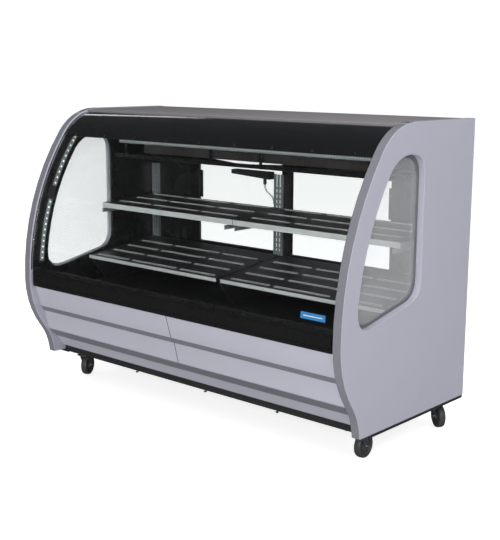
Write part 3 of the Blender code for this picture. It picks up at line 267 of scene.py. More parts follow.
# %% A group maker
def group(name, inputs, outputs):
    tree = bpy.data.node_groups.new(name, "ShaderNodeTree")
    for label, value in inputs:
        socket = tree.interface.new_socket(label, in_out="INPUT", socket_type="NodeSocketFloat")
        socket.default_value = value
    for label in outputs:
        tree.interface.new_socket(label, in_out="OUTPUT", socket_type="NodeSocketFloat")
    return tree, tree.nodes.new("NodeGroupInput"), tree.nodes.new("NodeGroupOutput")


def mathy(tree, kind, first, second=None, clamp=False):
    step = tree.nodes.new("ShaderNodeMath")
    step.operation = kind
    step.use_clamp = clamp
    for socket, value in zip(step.inputs, (first, second)):
        if value is None:
            continue
        if isinstance(value, (int, float)):
            socket.default_value = value
        else:
            tree.links.new(value, socket)
    return step.outputs[0]


# %% Mottle: soft blotches with a fine grain on top
MOTTLE, put, out = group("mottle", [("Blotch Scale", 3.0), ("Grain Scale", 400.0)], ["Blotch", "Grain"])
coords = MOTTLE.nodes.new("ShaderNodeTexCoord")
for label, detail in (("Blotch", 4.0), ("Grain", 1.0)):
    noise = MOTTLE.nodes.new("ShaderNodeTexNoise")
    noise.inputs["Detail"].default_value = detail
    MOTTLE.links.new(coords.outputs["Object"], noise.inputs["Vector"])
    MOTTLE.links.new(put.outputs[f"{label} Scale"], noise.inputs["Scale"])
    MOTTLE.links.new(noise.outputs["Fac"], out.inputs[label])

# %% Brushing: a grain drawn out along one direction
BRUSHED, put, out = group("brushed", [("Along", 4.0), ("Across", 700.0), ("Up", 700.0)],
                          ["Grain", "Streak"])
coords = BRUSHED.nodes.new("ShaderNodeTexCoord")
for label, share in (("Grain", 1.0), ("Streak", 0.06)):
    scale = BRUSHED.nodes.new("ShaderNodeCombineXYZ")
    for socket, source in zip(scale.inputs, ("Along", "Across", "Up")):
        BRUSHED.links.new(mathy(BRUSHED, "MULTIPLY", put.outputs[source], share), socket)
    stretch = BRUSHED.nodes.new("ShaderNodeVectorMath")
    stretch.operation = "MULTIPLY"
    BRUSHED.links.new(coords.outputs["Object"], stretch.inputs[0])
    BRUSHED.links.new(scale.outputs[0], stretch.inputs[1])
    noise = BRUSHED.nodes.new("ShaderNodeTexNoise")
    noise.inputs["Scale"].default_value = 1.0
    noise.inputs["Detail"].default_value = 3.0
    BRUSHED.links.new(stretch.outputs[0], noise.inputs["Vector"])
    BRUSHED.links.new(noise.outputs["Fac"], out.inputs[label])

# %% Handling: faint smears, and dust that lies low on the case
HANDLED, put, out = group("handled", [("Smear Scale", 6.0), ("Dust Height", 0.25)], ["Smear", "Dust"])
coords = HANDLED.nodes.new("ShaderNodeTexCoord")
noise = HANDLED.nodes.new("ShaderNodeTexNoise")
noise.inputs["Detail"].default_value = 6.0
noise.inputs["Distortion"].default_value = 1.2
HANDLED.links.new(coords.outputs["Object"], noise.inputs["Vector"])
HANDLED.links.new(put.outputs["Smear Scale"], noise.inputs["Scale"])
sharper = mathy(HANDLED, "MULTIPLY_ADD", noise.outputs["Fac"], 3.0)
sharper.node.inputs[2].default_value = -1.2
sharper.node.use_clamp = True
HANDLED.links.new(sharper, out.inputs["Smear"])
parts = HANDLED.nodes.new("ShaderNodeSeparateXYZ")
HANDLED.links.new(coords.outputs["Object"], parts.inputs[0])
low = mathy(HANDLED, "DIVIDE", parts.outputs["Z"], put.outputs["Dust Height"])
fade = mathy(HANDLED, "SUBTRACT", 1.0, low, clamp=True)
HANDLED.links.new(mathy(HANDLED, "MULTIPLY", fade, noise.outputs["Fac"]), out.inputs["Dust"])
print("shared effects:", [tree.name for tree in (MOTTLE, BRUSHED, HANDLED)])

# %% [markdown]
# ## Finishes
# The case has few materials: a satin lilac-grey paint, gloss black paint, bright plated steel, a
# polished top, plain aluminium, zinc, rubber, moulded plastic and glass. Each starts from one
# shader whose colour, roughness and relief come from the shared effects.

# %% A finish from colour, roughness and relief
def finish(name, colour, rough, second=None, metallic=0.0, coat=0.0, relief=0.02, effect="mottle",
           scales=(3.0, 400.0, 0.0), vary=0.06, dusty=0.10, depth=0.0004):
    mat = bpy.data.materials.new(name)
    mat.use_nodes = True
    tree = mat.node_tree
    shader = tree.nodes["Principled BSDF"]
    shader.inputs["Metallic"].default_value = metallic
    shader.inputs["Coat Weight"].default_value = coat
    shader.inputs["Coat Roughness"].default_value = 0.06
    texture = tree.nodes.new("ShaderNodeGroup")
    texture.node_tree = MOTTLE if effect == "mottle" else BRUSHED
    for socket, value in zip(texture.inputs, scales):
        socket.default_value = value
    broad, fine = (texture.outputs["Blotch"], texture.outputs["Grain"]) if effect == "mottle" else (
        texture.outputs["Streak"], texture.outputs["Grain"])
    hands = tree.nodes.new("ShaderNodeGroup")
    hands.node_tree = HANDLED
    tint = tree.nodes.new("ShaderNodeMix")
    tint.data_type = "RGBA"
    tint.inputs["A"].default_value = (*colour, 1)
    tint.inputs["B"].default_value = (*(second or [value * 0.86 for value in colour]), 1)
    tree.links.new(broad, tint.inputs["Factor"])
    dust = tree.nodes.new("ShaderNodeMix")
    dust.data_type = "RGBA"
    dust.inputs["B"].default_value = (0.30, 0.29, 0.27, 1)
    tree.links.new(tint.outputs["Result"], dust.inputs["A"])
    tree.links.new(mathy(tree, "MULTIPLY", hands.outputs["Dust"], dusty), dust.inputs["Factor"])
    tree.links.new(dust.outputs["Result"], shader.inputs["Base Color"])
    smear = mathy(tree, "MULTIPLY", hands.outputs["Smear"], vary)
    grain = mathy(tree, "MULTIPLY_ADD", fine, vary)
    grain.node.inputs[2].default_value = rough - vary * 0.5
    tree.links.new(mathy(tree, "ADD", grain, smear, clamp=True), shader.inputs["Roughness"])
    bump = tree.nodes.new("ShaderNodeBump")
    bump.inputs["Strength"].default_value = relief
    bump.inputs["Distance"].default_value = depth
    tree.links.new(fine, bump.inputs["Height"])
    tree.links.new(bump.outputs["Normal"], shader.inputs["Normal"])
    return mat


LILAC = finish("lilac_grey_paint", (0.375, 0.378, 0.445), 0.34, (0.352, 0.355, 0.418), coat=0.25,
               relief=0.04)
EDGE_GREY = finish("grey_edge_strip", (0.19, 0.19, 0.22), 0.22, (0.175, 0.175, 0.205), coat=0.6,
                   relief=0.03)
KICK = finish("pale_grey_paint", (0.44, 0.44, 0.51), 0.30, (0.42, 0.42, 0.485), coat=0.35, relief=0.04)
# A darker grey for the downward ledges of the kick panels: painted shade, not a paint of their own.
LEDGE_PAINTED_SHADE = finish("kick_ledge_painted_shade_grey", (0.17, 0.17, 0.20), 0.40, (0.15, 0.15, 0.175), relief=0.04)
BLACK = finish("gloss_black_paint", (0.005, 0.005, 0.0055), 0.26, (0.007, 0.007, 0.0075), coat=0.15,
               relief=0.02, dusty=0.03)
SATIN_BLACK = finish("satin_black_paint", (0.012, 0.012, 0.013), 0.42, (0.016, 0.016, 0.017), relief=0.05)
PRINT = finish("black_print_on_glass", (0.004, 0.004, 0.005), 0.08, (0.006, 0.006, 0.007), coat=1.0,
               relief=0.02, dusty=0.0, vary=0.02)
print("painted finishes:", LILAC.name, EDGE_GREY.name, KICK.name, BLACK.name, SATIN_BLACK.name, PRINT.name)

# %% Metals
STEEL = finish("bright_plated_steel", (0.72, 0.75, 0.75), 0.34, (0.62, 0.65, 0.65), metallic=0.6,
               effect="brushed", scales=(3.0, 300.0, 300.0), relief=0.03, vary=0.08, dusty=0.0)
# Shelves and deck pans: plated steel darkened far below its own brightness, painted shade of the dim inside.
SHELF_STEEL_PAINTED_SHADE = finish("shelf_steel_darkened_painted_shade", (0.11, 0.115, 0.12), 0.30, (0.08, 0.085, 0.09), metallic=0.8,
                     effect="brushed", scales=(3.0, 300.0, 300.0), relief=0.03, vary=0.08, dusty=0.0)
POST_STEEL = finish("post_steel", (0.34, 0.37, 0.38), 0.30, (0.22, 0.24, 0.25), metallic=0.6,
                    effect="brushed", scales=(3.0, 200.0, 200.0), relief=0.03, vary=0.08, dusty=0.0)
# A lighter copy of the shelf steel for lips and slot edges: a painted highlight.
EDGE_PAINTED_HIGHLIGHT = finish("steel_edge_painted_highlight", (0.66, 0.68, 0.68), 0.30, (0.54, 0.56, 0.56), metallic=0.35,
                     relief=0.02, dusty=0.0)
TOP_SHEET = finish("polished_top_sheet", (0.32, 0.30, 0.32), 0.36, (0.25, 0.235, 0.25), metallic=0.3,
                   effect="brushed", scales=(2.0, 300.0, 300.0), relief=0.03, vary=0.06, dusty=0.0)
ALUMINIUM = finish("plain_aluminium", (0.62, 0.63, 0.65), 0.38, (0.50, 0.51, 0.53), metallic=1.0,
                   effect="brushed", scales=(4.0, 400.0, 400.0), relief=0.05, vary=0.12)
ZINC = finish("zinc_plate", (0.58, 0.60, 0.62), 0.28, (0.42, 0.44, 0.47), metallic=1.0, relief=0.2,
              scales=(60.0, 900.0, 0.0), vary=0.15)
COPPER = finish("copper_pipe", (0.72, 0.38, 0.24), 0.30, (0.50, 0.24, 0.14), metallic=1.0, relief=0.15,
                scales=(25.0, 700.0, 0.0), vary=0.14)

# %% Rubber and plastics
GASKET = finish("grey_gasket", (0.13, 0.13, 0.15), 0.45, (0.11, 0.11, 0.13), relief=0.1,
                scales=(20.0, 700.0, 0.0), vary=0.08, dusty=0.05)
RUBBER = finish("black_rubber", (0.016, 0.016, 0.018), 0.62, (0.026, 0.026, 0.028), relief=0.15,
                scales=(20.0, 900.0, 0.0), vary=0.10, dusty=0.25)
WHEEL = finish("wheel_tread", (0.014, 0.014, 0.016), 0.45, (0.03, 0.03, 0.03), relief=0.2,
               scales=(30.0, 800.0, 0.0), vary=0.12, dusty=0.25)
GREY_PLASTIC = finish("grey_plastic", (0.50, 0.51, 0.51), 0.42, (0.44, 0.45, 0.45), relief=0.08,
                      scales=(8.0, 1100.0, 0.0))
BLUE = finish("blue_plate", (0.03, 0.20, 0.46), 0.25, (0.025, 0.17, 0.40), coat=0.5, relief=0.02)
BADGE_INK = finish("white_line", (0.75, 0.78, 0.80), 0.35, (0.68, 0.71, 0.73), relief=0.02)


# %% [markdown]
# ## Glass and small lamps
# Real glass is a thick slab with clear faces. A path tracer finds lamps through it badly, so rays
# that only ask whether a lamp is visible go straight through, as they nearly do in life. The end
# windows get a painted pale sheen: a small share of matt white, varied in patches, over the glass.
# The wall lamps are bright dots that give off light of their own; those on the bar are off.

# %% Clear glass, glass with a painted sheen and glowing dots
def clear_glass(name, tint, rough=0.0):
    mat = bpy.data.materials.new(name)
    mat.use_nodes = True
    tree = mat.node_tree
    shader = tree.nodes["Principled BSDF"]
    shader.inputs["Base Color"].default_value = (*tint, 1)
    shader.inputs["Metallic"].default_value = 0.0
    shader.inputs["Transmission Weight"].default_value = 1.0
    shader.inputs["IOR"].default_value = 1.45
    hands = tree.nodes.new("ShaderNodeGroup")
    hands.node_tree = HANDLED
    hands.inputs["Smear Scale"].default_value = 3.0
    veil = mathy(tree, "MULTIPLY_ADD", hands.outputs["Smear"], 0.012)
    veil.node.inputs[2].default_value = rough
    tree.links.new(veil, shader.inputs["Roughness"])
    through = tree.nodes.new("ShaderNodeBsdfTransparent")
    through.inputs["Color"].default_value = (0.94, 0.96, 0.95, 1)
    rays = tree.nodes.new("ShaderNodeLightPath")
    mix = tree.nodes.new("ShaderNodeMixShader")
    tree.links.new(rays.outputs["Is Shadow Ray"], mix.inputs[0])
    tree.links.new(shader.outputs[0], mix.inputs[1])
    tree.links.new(through.outputs[0], mix.inputs[2])
    tree.links.new(mix.outputs[0], tree.nodes["Material Output"].inputs["Surface"])
    return mat


def glass_with_painted_sheen(name, colour, density):
    """Glass with a painted pale sheen: a share of plain pale matt over a clear pane."""
    mat = clear_glass(name, (0.97, 0.985, 0.985))
    tree = mat.node_tree
    clear = tree.nodes["Mix Shader"]
    painted_sheen = tree.nodes.new("ShaderNodeBsdfDiffuse")
    painted_sheen.inputs["Color"].default_value = (*colour, 1)
    both = tree.nodes.new("ShaderNodeMixShader")
    hands = tree.nodes.new("ShaderNodeGroup")
    hands.node_tree = HANDLED
    hands.inputs["Smear Scale"].default_value = 2.0
    share = mathy(tree, "MULTIPLY_ADD", hands.outputs["Smear"], 0.06)
    share.node.inputs[2].default_value = density
    tree.links.new(share, both.inputs[0])
    tree.links.new(clear.outputs[0], both.inputs[1])
    tree.links.new(painted_sheen.outputs[0], both.inputs[2])
    tree.links.new(both.outputs[0], tree.nodes["Material Output"].inputs["Surface"])
    return mat


def glowing(name, colour, strength):
    mat = finish(name, colour, 0.25, colour, relief=0.05, dusty=0.0)
    shader = mat.node_tree.nodes["Principled BSDF"]
    shader.inputs["Emission Color"].default_value = (*colour, 1)
    shader.inputs["Emission Strength"].default_value = strength
    return mat


GLASS = clear_glass("clear_glass", (0.97, 0.99, 0.985))
# The end windows: a matt pale share over clear glass, a painted sheen.
SIDE_GLASS = glass_with_painted_sheen("side_window_glass", (0.80, 0.81, 0.83), 0.14)
LENS = finish("lamp_lens", (0.22, 0.24, 0.24), 0.28, (0.18, 0.20, 0.20), coat=0.4, relief=0.02, dusty=0.0)
BAR_LENS = finish("bar_lens", (0.30, 0.33, 0.33), 0.28, (0.24, 0.27, 0.27), coat=0.4, relief=0.02,
                  dusty=0.0)
UNLIT = finish("unlit_lamp", (0.80, 0.84, 0.84), 0.30, (0.70, 0.74, 0.74), relief=0.02, dusty=0.0)
LAMP = glowing("lamp_dot", (0.80, 0.84, 0.86), 0.45)
print("glass and lamps ready")

# %% [markdown]
# ## Front glass
# The glass is one sheet bent over two arcs. It could be a lattice pushed into shape, but a straight
# line across the case, spun first round the shoulder's centre and then round the long front's
# centre, gives exactly the bend of the real sheet. Its wall is added afterwards, inwards.

# %% Spin a line into a curved sheet
GLASS_INSET = 0.008
GLASS_WALL = 0.006
GLASS_START = math.radians(16.3)
GLASS_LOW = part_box("front_glass")[0].z + 0.0006    # the rounded edge hangs a little lower than its face


def curved_sheet(name, left, right, start, low, inset, thickness, fine=1.0):
    """A sheet spun from a straight line at heading start down to a height, its wall added inwards."""
    begin = front_spot(0, start, inset)
    bpy.ops.object.select_all(action="DESELECT")
    bpy.ops.mesh.primitive_plane_add(size=1, location=((left + right) / 2, begin.y, begin.z))
    obj = bpy.context.object
    obj.name = name
    obj.scale = (right - left, 1, 1)
    settle(obj)
    pick_verts(obj, lambda vertex: vertex.co.y > begin.y)
    bpy.ops.mesh.delete(type="VERT")
    bpy.ops.mesh.select_all(action="SELECT")
    bpy.ops.transform.translate(value=(0, 0.5, 0))
    end = front_heading(low, inset)
    for centre, first, last in ((SHOULDER, start, min(end, TURN)), (FRONT, TURN, end)):
        steps = max(3, round(math.degrees(last - first) / 2 * fine))
        if last - first > 0.001:
            bpy.ops.mesh.spin(steps=steps, angle=last - first, center=at(0, *centre), axis=(-1, 0, 0))
    done()
    face_out(obj)
    only(obj)
    wall = obj.modifiers.new("wall", "SOLIDIFY")
    wall.thickness = thickness
    outward = sum(face.normal.y for face in obj.data.polygons) < 0
    wall.offset = -1 if outward else 1
    bpy.ops.object.modifier_apply(modifier=wall.name)
    return face_out(obj)


GLASS_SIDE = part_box("front_glass")[1].x
glass = curved_sheet("curved_front_glass", -GLASS_SIDE, GLASS_SIDE, GLASS_START, GLASS_LOW,
                     GLASS_INSET, GLASS_WALL)
lowest = min(v.co.z for v in glass.data.vertices)
print(f"glass hangs down to {lowest:.4f} m, wanted {GLASS_LOW:.4f}, {len(glass.data.polygons)} faces")
soften(glass, 0.0012, 2, 40)
hand_over(glass, GLASS, "front_glass", ["front_glass"])

# %% [markdown]
# ## The black header, its screws and the hinge rod
# Behind the top of the glass lies a black printed band that hides the hinge. It bends with the
# glass, so it is spun in the same way, 0.3 mm behind it. The screws are low domes with a cross
# recess, modelled once and copied along the lower edge.

# %% Header band and hinge rod
HEADER_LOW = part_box("header_band")[0].z
header = curved_sheet("header_band_print", -GLASS_SIDE, GLASS_SIDE, GLASS_START, HEADER_LOW, 0.0143, 0.002)
soften(header, 0.0003, 1, 40)
rod_heading = math.radians(17.5)
rod_place = front_spot(0, rod_heading, 0.0205)
rod = bar("hinge_rod", rod_place, 0.0046, 2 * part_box("bottom_rail")[1].x - 0.006, "X", 20, 0.0008)
hand_over(header, PRINT, "front_glass", ["header_band"])
hand_over(rod, STEEL, "front_glass")


# %% Screws along the header
def cross_screw(name, radius, rise):
    """A domed screw head on the floor of the world, facing up."""
    bpy.ops.object.select_all(action="DESELECT")
    bpy.ops.mesh.primitive_uv_sphere_add(segments=16, ring_count=10, radius=radius)
    head = bpy.context.object
    head.name = name
    pick_all(head)
    bpy.ops.mesh.bisect(plane_co=(0, 0, 0), plane_no=(0, 0, 1), use_fill=True, clear_inner=True)
    bpy.ops.mesh.select_all(action="SELECT")
    bpy.ops.transform.resize(value=(1, 1, rise / radius), center_override=(0, 0, 0))
    done()
    tools = [block("tool", (-radius * a, -radius * b, rise * 0.45), (radius * a, radius * b, rise * 2), 0)
             for a, b in ((0.6, 0.12), (0.12, 0.6))]
    for tool in tools:
        step = head.modifiers.new("recess", "BOOLEAN")
        step.operation, step.solver, step.object = "DIFFERENCE", "EXACT", tool
        only(head)
        bpy.ops.object.modifier_apply(modifier=step.name)
        bpy.data.objects.remove(tool)
    return smooth(face_out(head), 40)


SCREW = cross_screw("screw_master", 0.0042, 0.0016)


def on_front(x, heading, inset):
    """The place and turn that stand a part on the curved front, facing outwards."""
    place = front_spot(x, heading, inset)
    normal = Vector((0, -math.sin(heading), math.cos(heading)))
    return place, normal.to_track_quat("Z", "Y").to_matrix().to_4x4()


low_heading = front_heading(HEADER_LOW + 0.012, 0.0075)
heads = []
for step in range(9):
    place, turn = on_front(-0.80 + 0.2 * step, low_heading, GLASS_INSET + 0.0002)
    heads.append(twin(SCREW, place, turn))
hand_over(join("header_screws", heads), SATIN_BLACK, "front_glass")
print("nine screws hold the header")

# %% [markdown]
# ## Seals beside the glass
# A thin rubber strip fills the slit between each end wall and the edge of the glass. It follows
# the same arcs, so it is one more narrow spun sheet, a little deeper than the glass.

# %% Side seals
PANEL_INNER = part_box("right_end_panel")[0].x
for side, word in ((-1, "left"), (1, "right")):
    edges = sorted((side * (PANEL_INNER - 0.0004), side * (GLASS_SIDE + 0.0004)))
    seal = curved_sheet(f"{word}_glass_seal", *edges, GLASS_START, GLASS_LOW, 0.0072, 0.0085)
    hand_over(smooth(seal, 40), RUBBER, "cabinet")

# %% [markdown]
# ## End walls
# An end wall is a foamed panel with a dark grey strip folded round its curved front. The frame has
# its outline and window, so a copy is rounded at the edges, and the faces of the front edge are
# given the strip's darker finish. Inside it hangs a gloss black skin.

# %% Painted end panels with a dark front strip
for side, word in ((-1, "left"), (1, "right")):
    panel = finished(f"{word}_end_panel", 0.0022, 3)
    hand_over(panel, (LILAC, EDGE_GREY), "cabinet", [f"{word}_end_panel"])
    front_faces = [face for face in panel.data.polygons
                   if abs(face.normal.x) < 0.5 and face.center.y < REAR_FACE - TOP_LENGTH + 0.02
                   and (face.normal.y < -0.1 or face.normal.z > 0.5)]
    for face in front_faces:
        middle = face.center
        if middle.z > BELLY_HEIGHT:
            centre, radius = (SHOULDER, SHOULDER_RADIUS) if middle.z > front_spot(0, TURN, 0).z else (
                FRONT, FRONT_RADIUS)
            away = math.hypot(REAR_FACE - middle.y - centre[0], middle.z - centre[1])
            face.material_index = 1 if abs(away - radius) < 0.006 else 0
        else:
            face.material_index = 1 if face.normal.y < -0.2 else 0
    skin = finished(f"{word}_liner", 0.0010, 2)
    hand_over(skin, BLACK, "cabinet", [f"{word}_liner"])
    seal = finished(f"{word}_window_gasket", 0.0009, 2)
    hand_over(seal, (GASKET, RUBBER), "cabinet", [f"{word}_window_gasket"])
    pane_face = max(abs(corner.x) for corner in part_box(f"{word}_window_glass"))
    for face in seal.data.polygons:
        face.material_index = 1 if abs(face.center.x) < pane_face - 0.001 else 0
    pane = finished(f"{word}_window_glass", 0.0006, 2)
    hand_over(pane, SIDE_GLASS, "cabinet", [f"{word}_window_glass"])
print("end walls dressed")

# %% [markdown]
# ## Top, rail and kick panels
# These are folded sheets. Their shapes are already right in the frame, so each is a copy whose
# folds are rounded. The kick panels' downward ledges get a darker grey as painted shade, and the
# rear wall's inner side a black paint. The shelves and pans are steel darkened as painted shade,
# with lighter lips and raised slot edges as painted highlight; the rail gets two beads, the glass
# a plain blue plate low on its right, and the front bar hexagon bolts underneath.

# %% Folded sheets
FOLDED = [
    ("top_panel", TOP_SHEET, "polished_top", 0.0015),
    ("glass_hinge_rail", BLACK, "black_paint", 0.0010),
    ("bottom_rail", BLACK, "black_paint", 0.0012),
    ("kick_panel_left", KICK, "lilac_paint", 0.0016),
    ("kick_panel_right", KICK, "lilac_paint", 0.0016),
    ("kick_panel_lower", KICK, "lilac_paint", 0.0016),
    ("insulated_tub", SATIN_BLACK, "black_paint", 0.0015),
    ("base_frame", SATIN_BLACK, "black_paint", 0.0012),
    ("rear_frame", LILAC, "lilac_paint", 0.0014),
    ("door_track_top", ALUMINIUM, "aluminium", 0.0006),
    ("door_track_bottom", ALUMINIUM, "aluminium", 0.0006),
    ("control_box", SATIN_BLACK, "black_paint", 0.0012),
    ("drip_tray", BLACK, "black_paint", 0.0008),
    ("drip_trough", SATIN_BLACK, "black_paint", 0.0008),
    ("deck_pan_left", SHELF_STEEL_PAINTED_SHADE, "bright_steel", 0.0006),
    ("deck_pan_right", SHELF_STEEL_PAINTED_SHADE, "bright_steel", 0.0006),
    ("upper_shelf_left", SHELF_STEEL_PAINTED_SHADE, "bright_steel", 0.0006),
    ("upper_shelf_right", SHELF_STEEL_PAINTED_SHADE, "bright_steel", 0.0006),
    ("bracket_far_left", POST_STEEL, "bright_steel", 0.0010),
    ("bracket_inner_left", POST_STEEL, "bright_steel", 0.0010),
    ("bracket_inner_right", POST_STEEL, "bright_steel", 0.0010),
    ("bracket_far_right", POST_STEEL, "bright_steel", 0.0010),
    ("light_bar", BLACK, "bright_steel", 0.0012),
    ("drain_hose", GREY_PLASTIC, "grey_plastic", 0.0),
    ("refrigerant_line", COPPER, "copper", 0.0),
    ("fan_motor", SATIN_BLACK, "black_paint", 0.0010),
    ("compressor", SATIN_BLACK, "black_paint", 0.0012),
    ("rear_grille", LILAC, "lilac_paint", 0.0008),
]
for node, look, slot, edge in FOLDED:
    hand_over(finished(node, edge), look, "cabinet", [node])
# Faces that look steeply down take the darker grey: painted shade on the ledges.
for node, steep in (("kick_panel_left", 0.45), ("kick_panel_right", 0.45), ("kick_panel_lower", 0.65)):
    panel = bpy.data.objects[f"{node}_finish"]
    panel.data.materials.append(LEDGE_PAINTED_SHADE)
    for face in panel.data.polygons:
        face.material_index = 1 if face.normal.z < -steep else 0
pair_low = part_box("kick_panel_right")[0]
filler = finished("kick_panel_right", 0)
filler.name = "kick_joint_filler"
pick_verts(filler, lambda vertex: vertex.co.x > pair_low.x + 0.01)
bpy.ops.transform.resize(value=(0, 1, 1), center_override=(-pair_low.x, 0, 0))
done()
filler.data.transform(Matrix.Translation((0, 0.0008, 0)))
hand_over(filler, SATIN_BLACK, "cabinet")
wall = bpy.data.objects["rear_frame_finish"]
wall.data.materials.append(BLACK)
for face in wall.data.polygons:
    face.material_index = 1 if face.normal.y < 0.5 else 0
for node, look, slot, body, edge in (
        ("fan_rotor", ALUMINIUM, "aluminium", "condenser_fan", 0.0005),
        ("thermostat_knob", GREY_PLASTIC, "grey_plastic", "thermostat_knob", 0.0008),
        ("light_switch", GREY_PLASTIC, "grey_plastic", "light_switch", 0.0010)):
    hand_over(finished(node, edge), look, body, [node])
print(len(FOLDED) + 3, "folded and moulded pieces")

# %% Front lips and raised slot edges in a lighter steel, a painted highlight
for node in ("deck_pan_left", "deck_pan_right", "upper_shelf_left", "upper_shelf_right"):
    low_corner, high_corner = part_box(node)
    sheet = bpy.data.objects[f"{node}_finish"]
    sheet.data.materials.append(EDGE_PAINTED_HIGHLIGHT)
    # Lip faces take the lighter steel as a painted highlight; the raised slot edges below get it too.
    for face in sheet.data.polygons:
        at_lip = face.center.y < low_corner.y + 0.006 and face.normal.y < -0.3
        face.material_index = 1 if at_lip else 0
    rims = finished(node, 0)
    pick_faces(rims, lambda face: abs(face.normal.z) > 0.5 or face.center.x < low_corner.x + 0.012
               or face.center.x > high_corner.x - 0.012 or face.center.y < low_corner.y + 0.016
               or face.center.y > high_corner.y - 0.016)
    bpy.ops.mesh.delete(type="FACE")
    done()
    only(rims)
    wall = rims.modifiers.new("wall", "SOLIDIFY")
    wall.thickness, wall.offset = 0.0024, -1
    bpy.ops.object.modifier_apply(modifier=wall.name)
    rims.data.transform(Matrix.Translation((0, 0, 0.0012)))
    hand_over(smooth(face_out(rims), 30), EDGE_PAINTED_HIGHLIGHT, "cabinet")
    rims.name = f"{node}_slot_edges"
    print(node, "slot edges:", len(rims.data.polygons), "faces")

# %% Beads on the rail
BEAD_RADIUS = 0.0024
rail_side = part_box("bottom_rail")[1].x
for height, word in ((0.547, "upper"), (0.500, "lower")):
    heading = front_heading(max(height, BELLY_HEIGHT), GLASS_INSET)
    reach = REAR_FACE - front_spot(0, heading, GLASS_INSET).y
    middle = at(0, reach - BEAD_RADIUS / 2, height)
    bead = bar(f"{word}_rail_bead", middle, BEAD_RADIUS, 2 * rail_side - 0.004, "X", 16, 0.0006)
    hand_over(bead, BLACK, "cabinet")


# %% A plain blue plate low on the glass
plate_place, plate_turn = on_front(0.788, front_heading(0.609, GLASS_INSET), GLASS_INSET)
plate = block("blue_plate", (-0.057, -0.0125, 0.0002), (0.057, 0.0125, 0.0016), 0)
pick_faces(plate, lambda face: face.normal.z > 0.9)
bpy.ops.mesh.inset(thickness=0.0022)
bpy.ops.transform.translate(value=(0, 0, -0.0005))
done()
line = block("blue_plate_line", (-0.044, -0.0014, 0.0012), (0.044, 0.0014, 0.0017), 0.0001, 1)
badge = twin(soften(plate, 0.0004, 2), plate_place, plate_turn)
stripe = twin(line, plate_place, plate_turn)
for master in (plate, line):
    bpy.data.objects.remove(master)
hand_over(badge, BLUE, "front_glass").name = "blue_plate"
hand_over(stripe, BADGE_INK, "front_glass").name = "blue_plate_line"


# %% Hexagon bolts under the front bar
def hex_bolt(name, flat, rise):
    bpy.ops.object.select_all(action="DESELECT")
    bpy.ops.mesh.primitive_cylinder_add(vertices=6, radius=flat / math.sqrt(3), depth=rise,
                                        location=(0, 0, rise / 2))
    head = bpy.context.object
    head.name = name
    settle(head)
    pick_faces(head, lambda face: face.normal.z > 0.9)
    bpy.ops.mesh.inset(thickness=flat * 0.08)
    bpy.ops.transform.translate(value=(0, 0, rise * 0.12))
    done()
    washer = bar("washer", (0, 0, 0.0005), flat * 0.72, 0.001, "Z", 20, 0.0003)
    return join(name, [soften(head, flat * 0.04, 2, 25), washer])


BOLT = hex_bolt("bolt_master", 0.010, 0.0045)
FRONT_BAR = REAR_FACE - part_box("base_frame")[0].y
turn = Vector((0, 0, -1)).to_track_quat("Z", "Y").to_matrix().to_4x4()
BAR_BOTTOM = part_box("base_frame")[0].z
BOLT_PLACES = (-0.80, -0.38, 0.055, 0.46)
bolts = [twin(BOLT, at(x, FRONT_BAR - 0.012, BAR_BOTTOM - 0.0003), turn) for x in BOLT_PLACES]
hand_over(join("front_bolts", bolts), SATIN_BLACK, "cabinet")

# %% [markdown]
# ## Lamps along the end walls and across the case
# The small lamps on the walls are square chips on dark lenses along a black strip. One lens and one
# chip are modelled and copied along the curve at an even spacing, in line with the front all the
# way. The bar across the case has one long lens with fine chips.

# %% One lamp, copied along each wall
def lens(name, length, width, rise):
    """A soft-edged lens lying on the floor of the world."""
    piece = block(name, (-length / 2, -width / 2, 0), (length / 2, width / 2, rise), 0)
    pick_faces(piece, lambda face: face.normal.z > 0.9)
    bpy.ops.mesh.inset(thickness=width * 0.18)
    bpy.ops.transform.translate(value=(0, 0, rise * 0.35))
    done()
    return soften(piece, width * 0.10, 2, 25)


STRIP_MIDDLE = 0.042 + 0.015
COVER = lens("cover_master", 0.026, 0.020, 0.0012)
CHIP = lens("chip_master", 0.0075, 0.0075, 0.0012)
for side, word in ((-1, "left"), (1, "right")):
    base = finished(f"{word}_led_strip", 0.0008)
    hand_over(base, SATIN_BLACK, "cabinet", [f"{word}_led_strip"])
    face_x = side * abs(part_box(f"{word}_led_strip")[0 if side > 0 else 1].x)
    covers, chips = [], []
    for high, low in ((1.183, 0.945), (0.885, 0.600)):
        first, last = front_heading(high, STRIP_MIDDLE), front_heading(low, STRIP_MIDDLE)
        count = round((last - first) * (FRONT_RADIUS - STRIP_MIDDLE) / 0.0275)
        for step in range(count):
            heading = first + (last - first) * (step + 0.5) / count
            place = front_spot(face_x, heading, STRIP_MIDDLE)
            along = Vector((0, -math.cos(heading), -math.sin(heading)))
            normal = Vector((-side, 0, 0))
            frame_turn = Matrix((along, normal.cross(along), normal)).transposed().to_4x4()
            covers.append(twin(COVER, place, frame_turn))
            chips.append(twin(CHIP, place + normal * 0.0016, frame_turn))
    hand_over(join(f"{word}_lamp_covers", covers), LENS, "cabinet")
    hand_over(join(f"{word}_lamp_chips", chips), LAMP, "cabinet")
print("lamps on the walls:", len(chips) * 2)

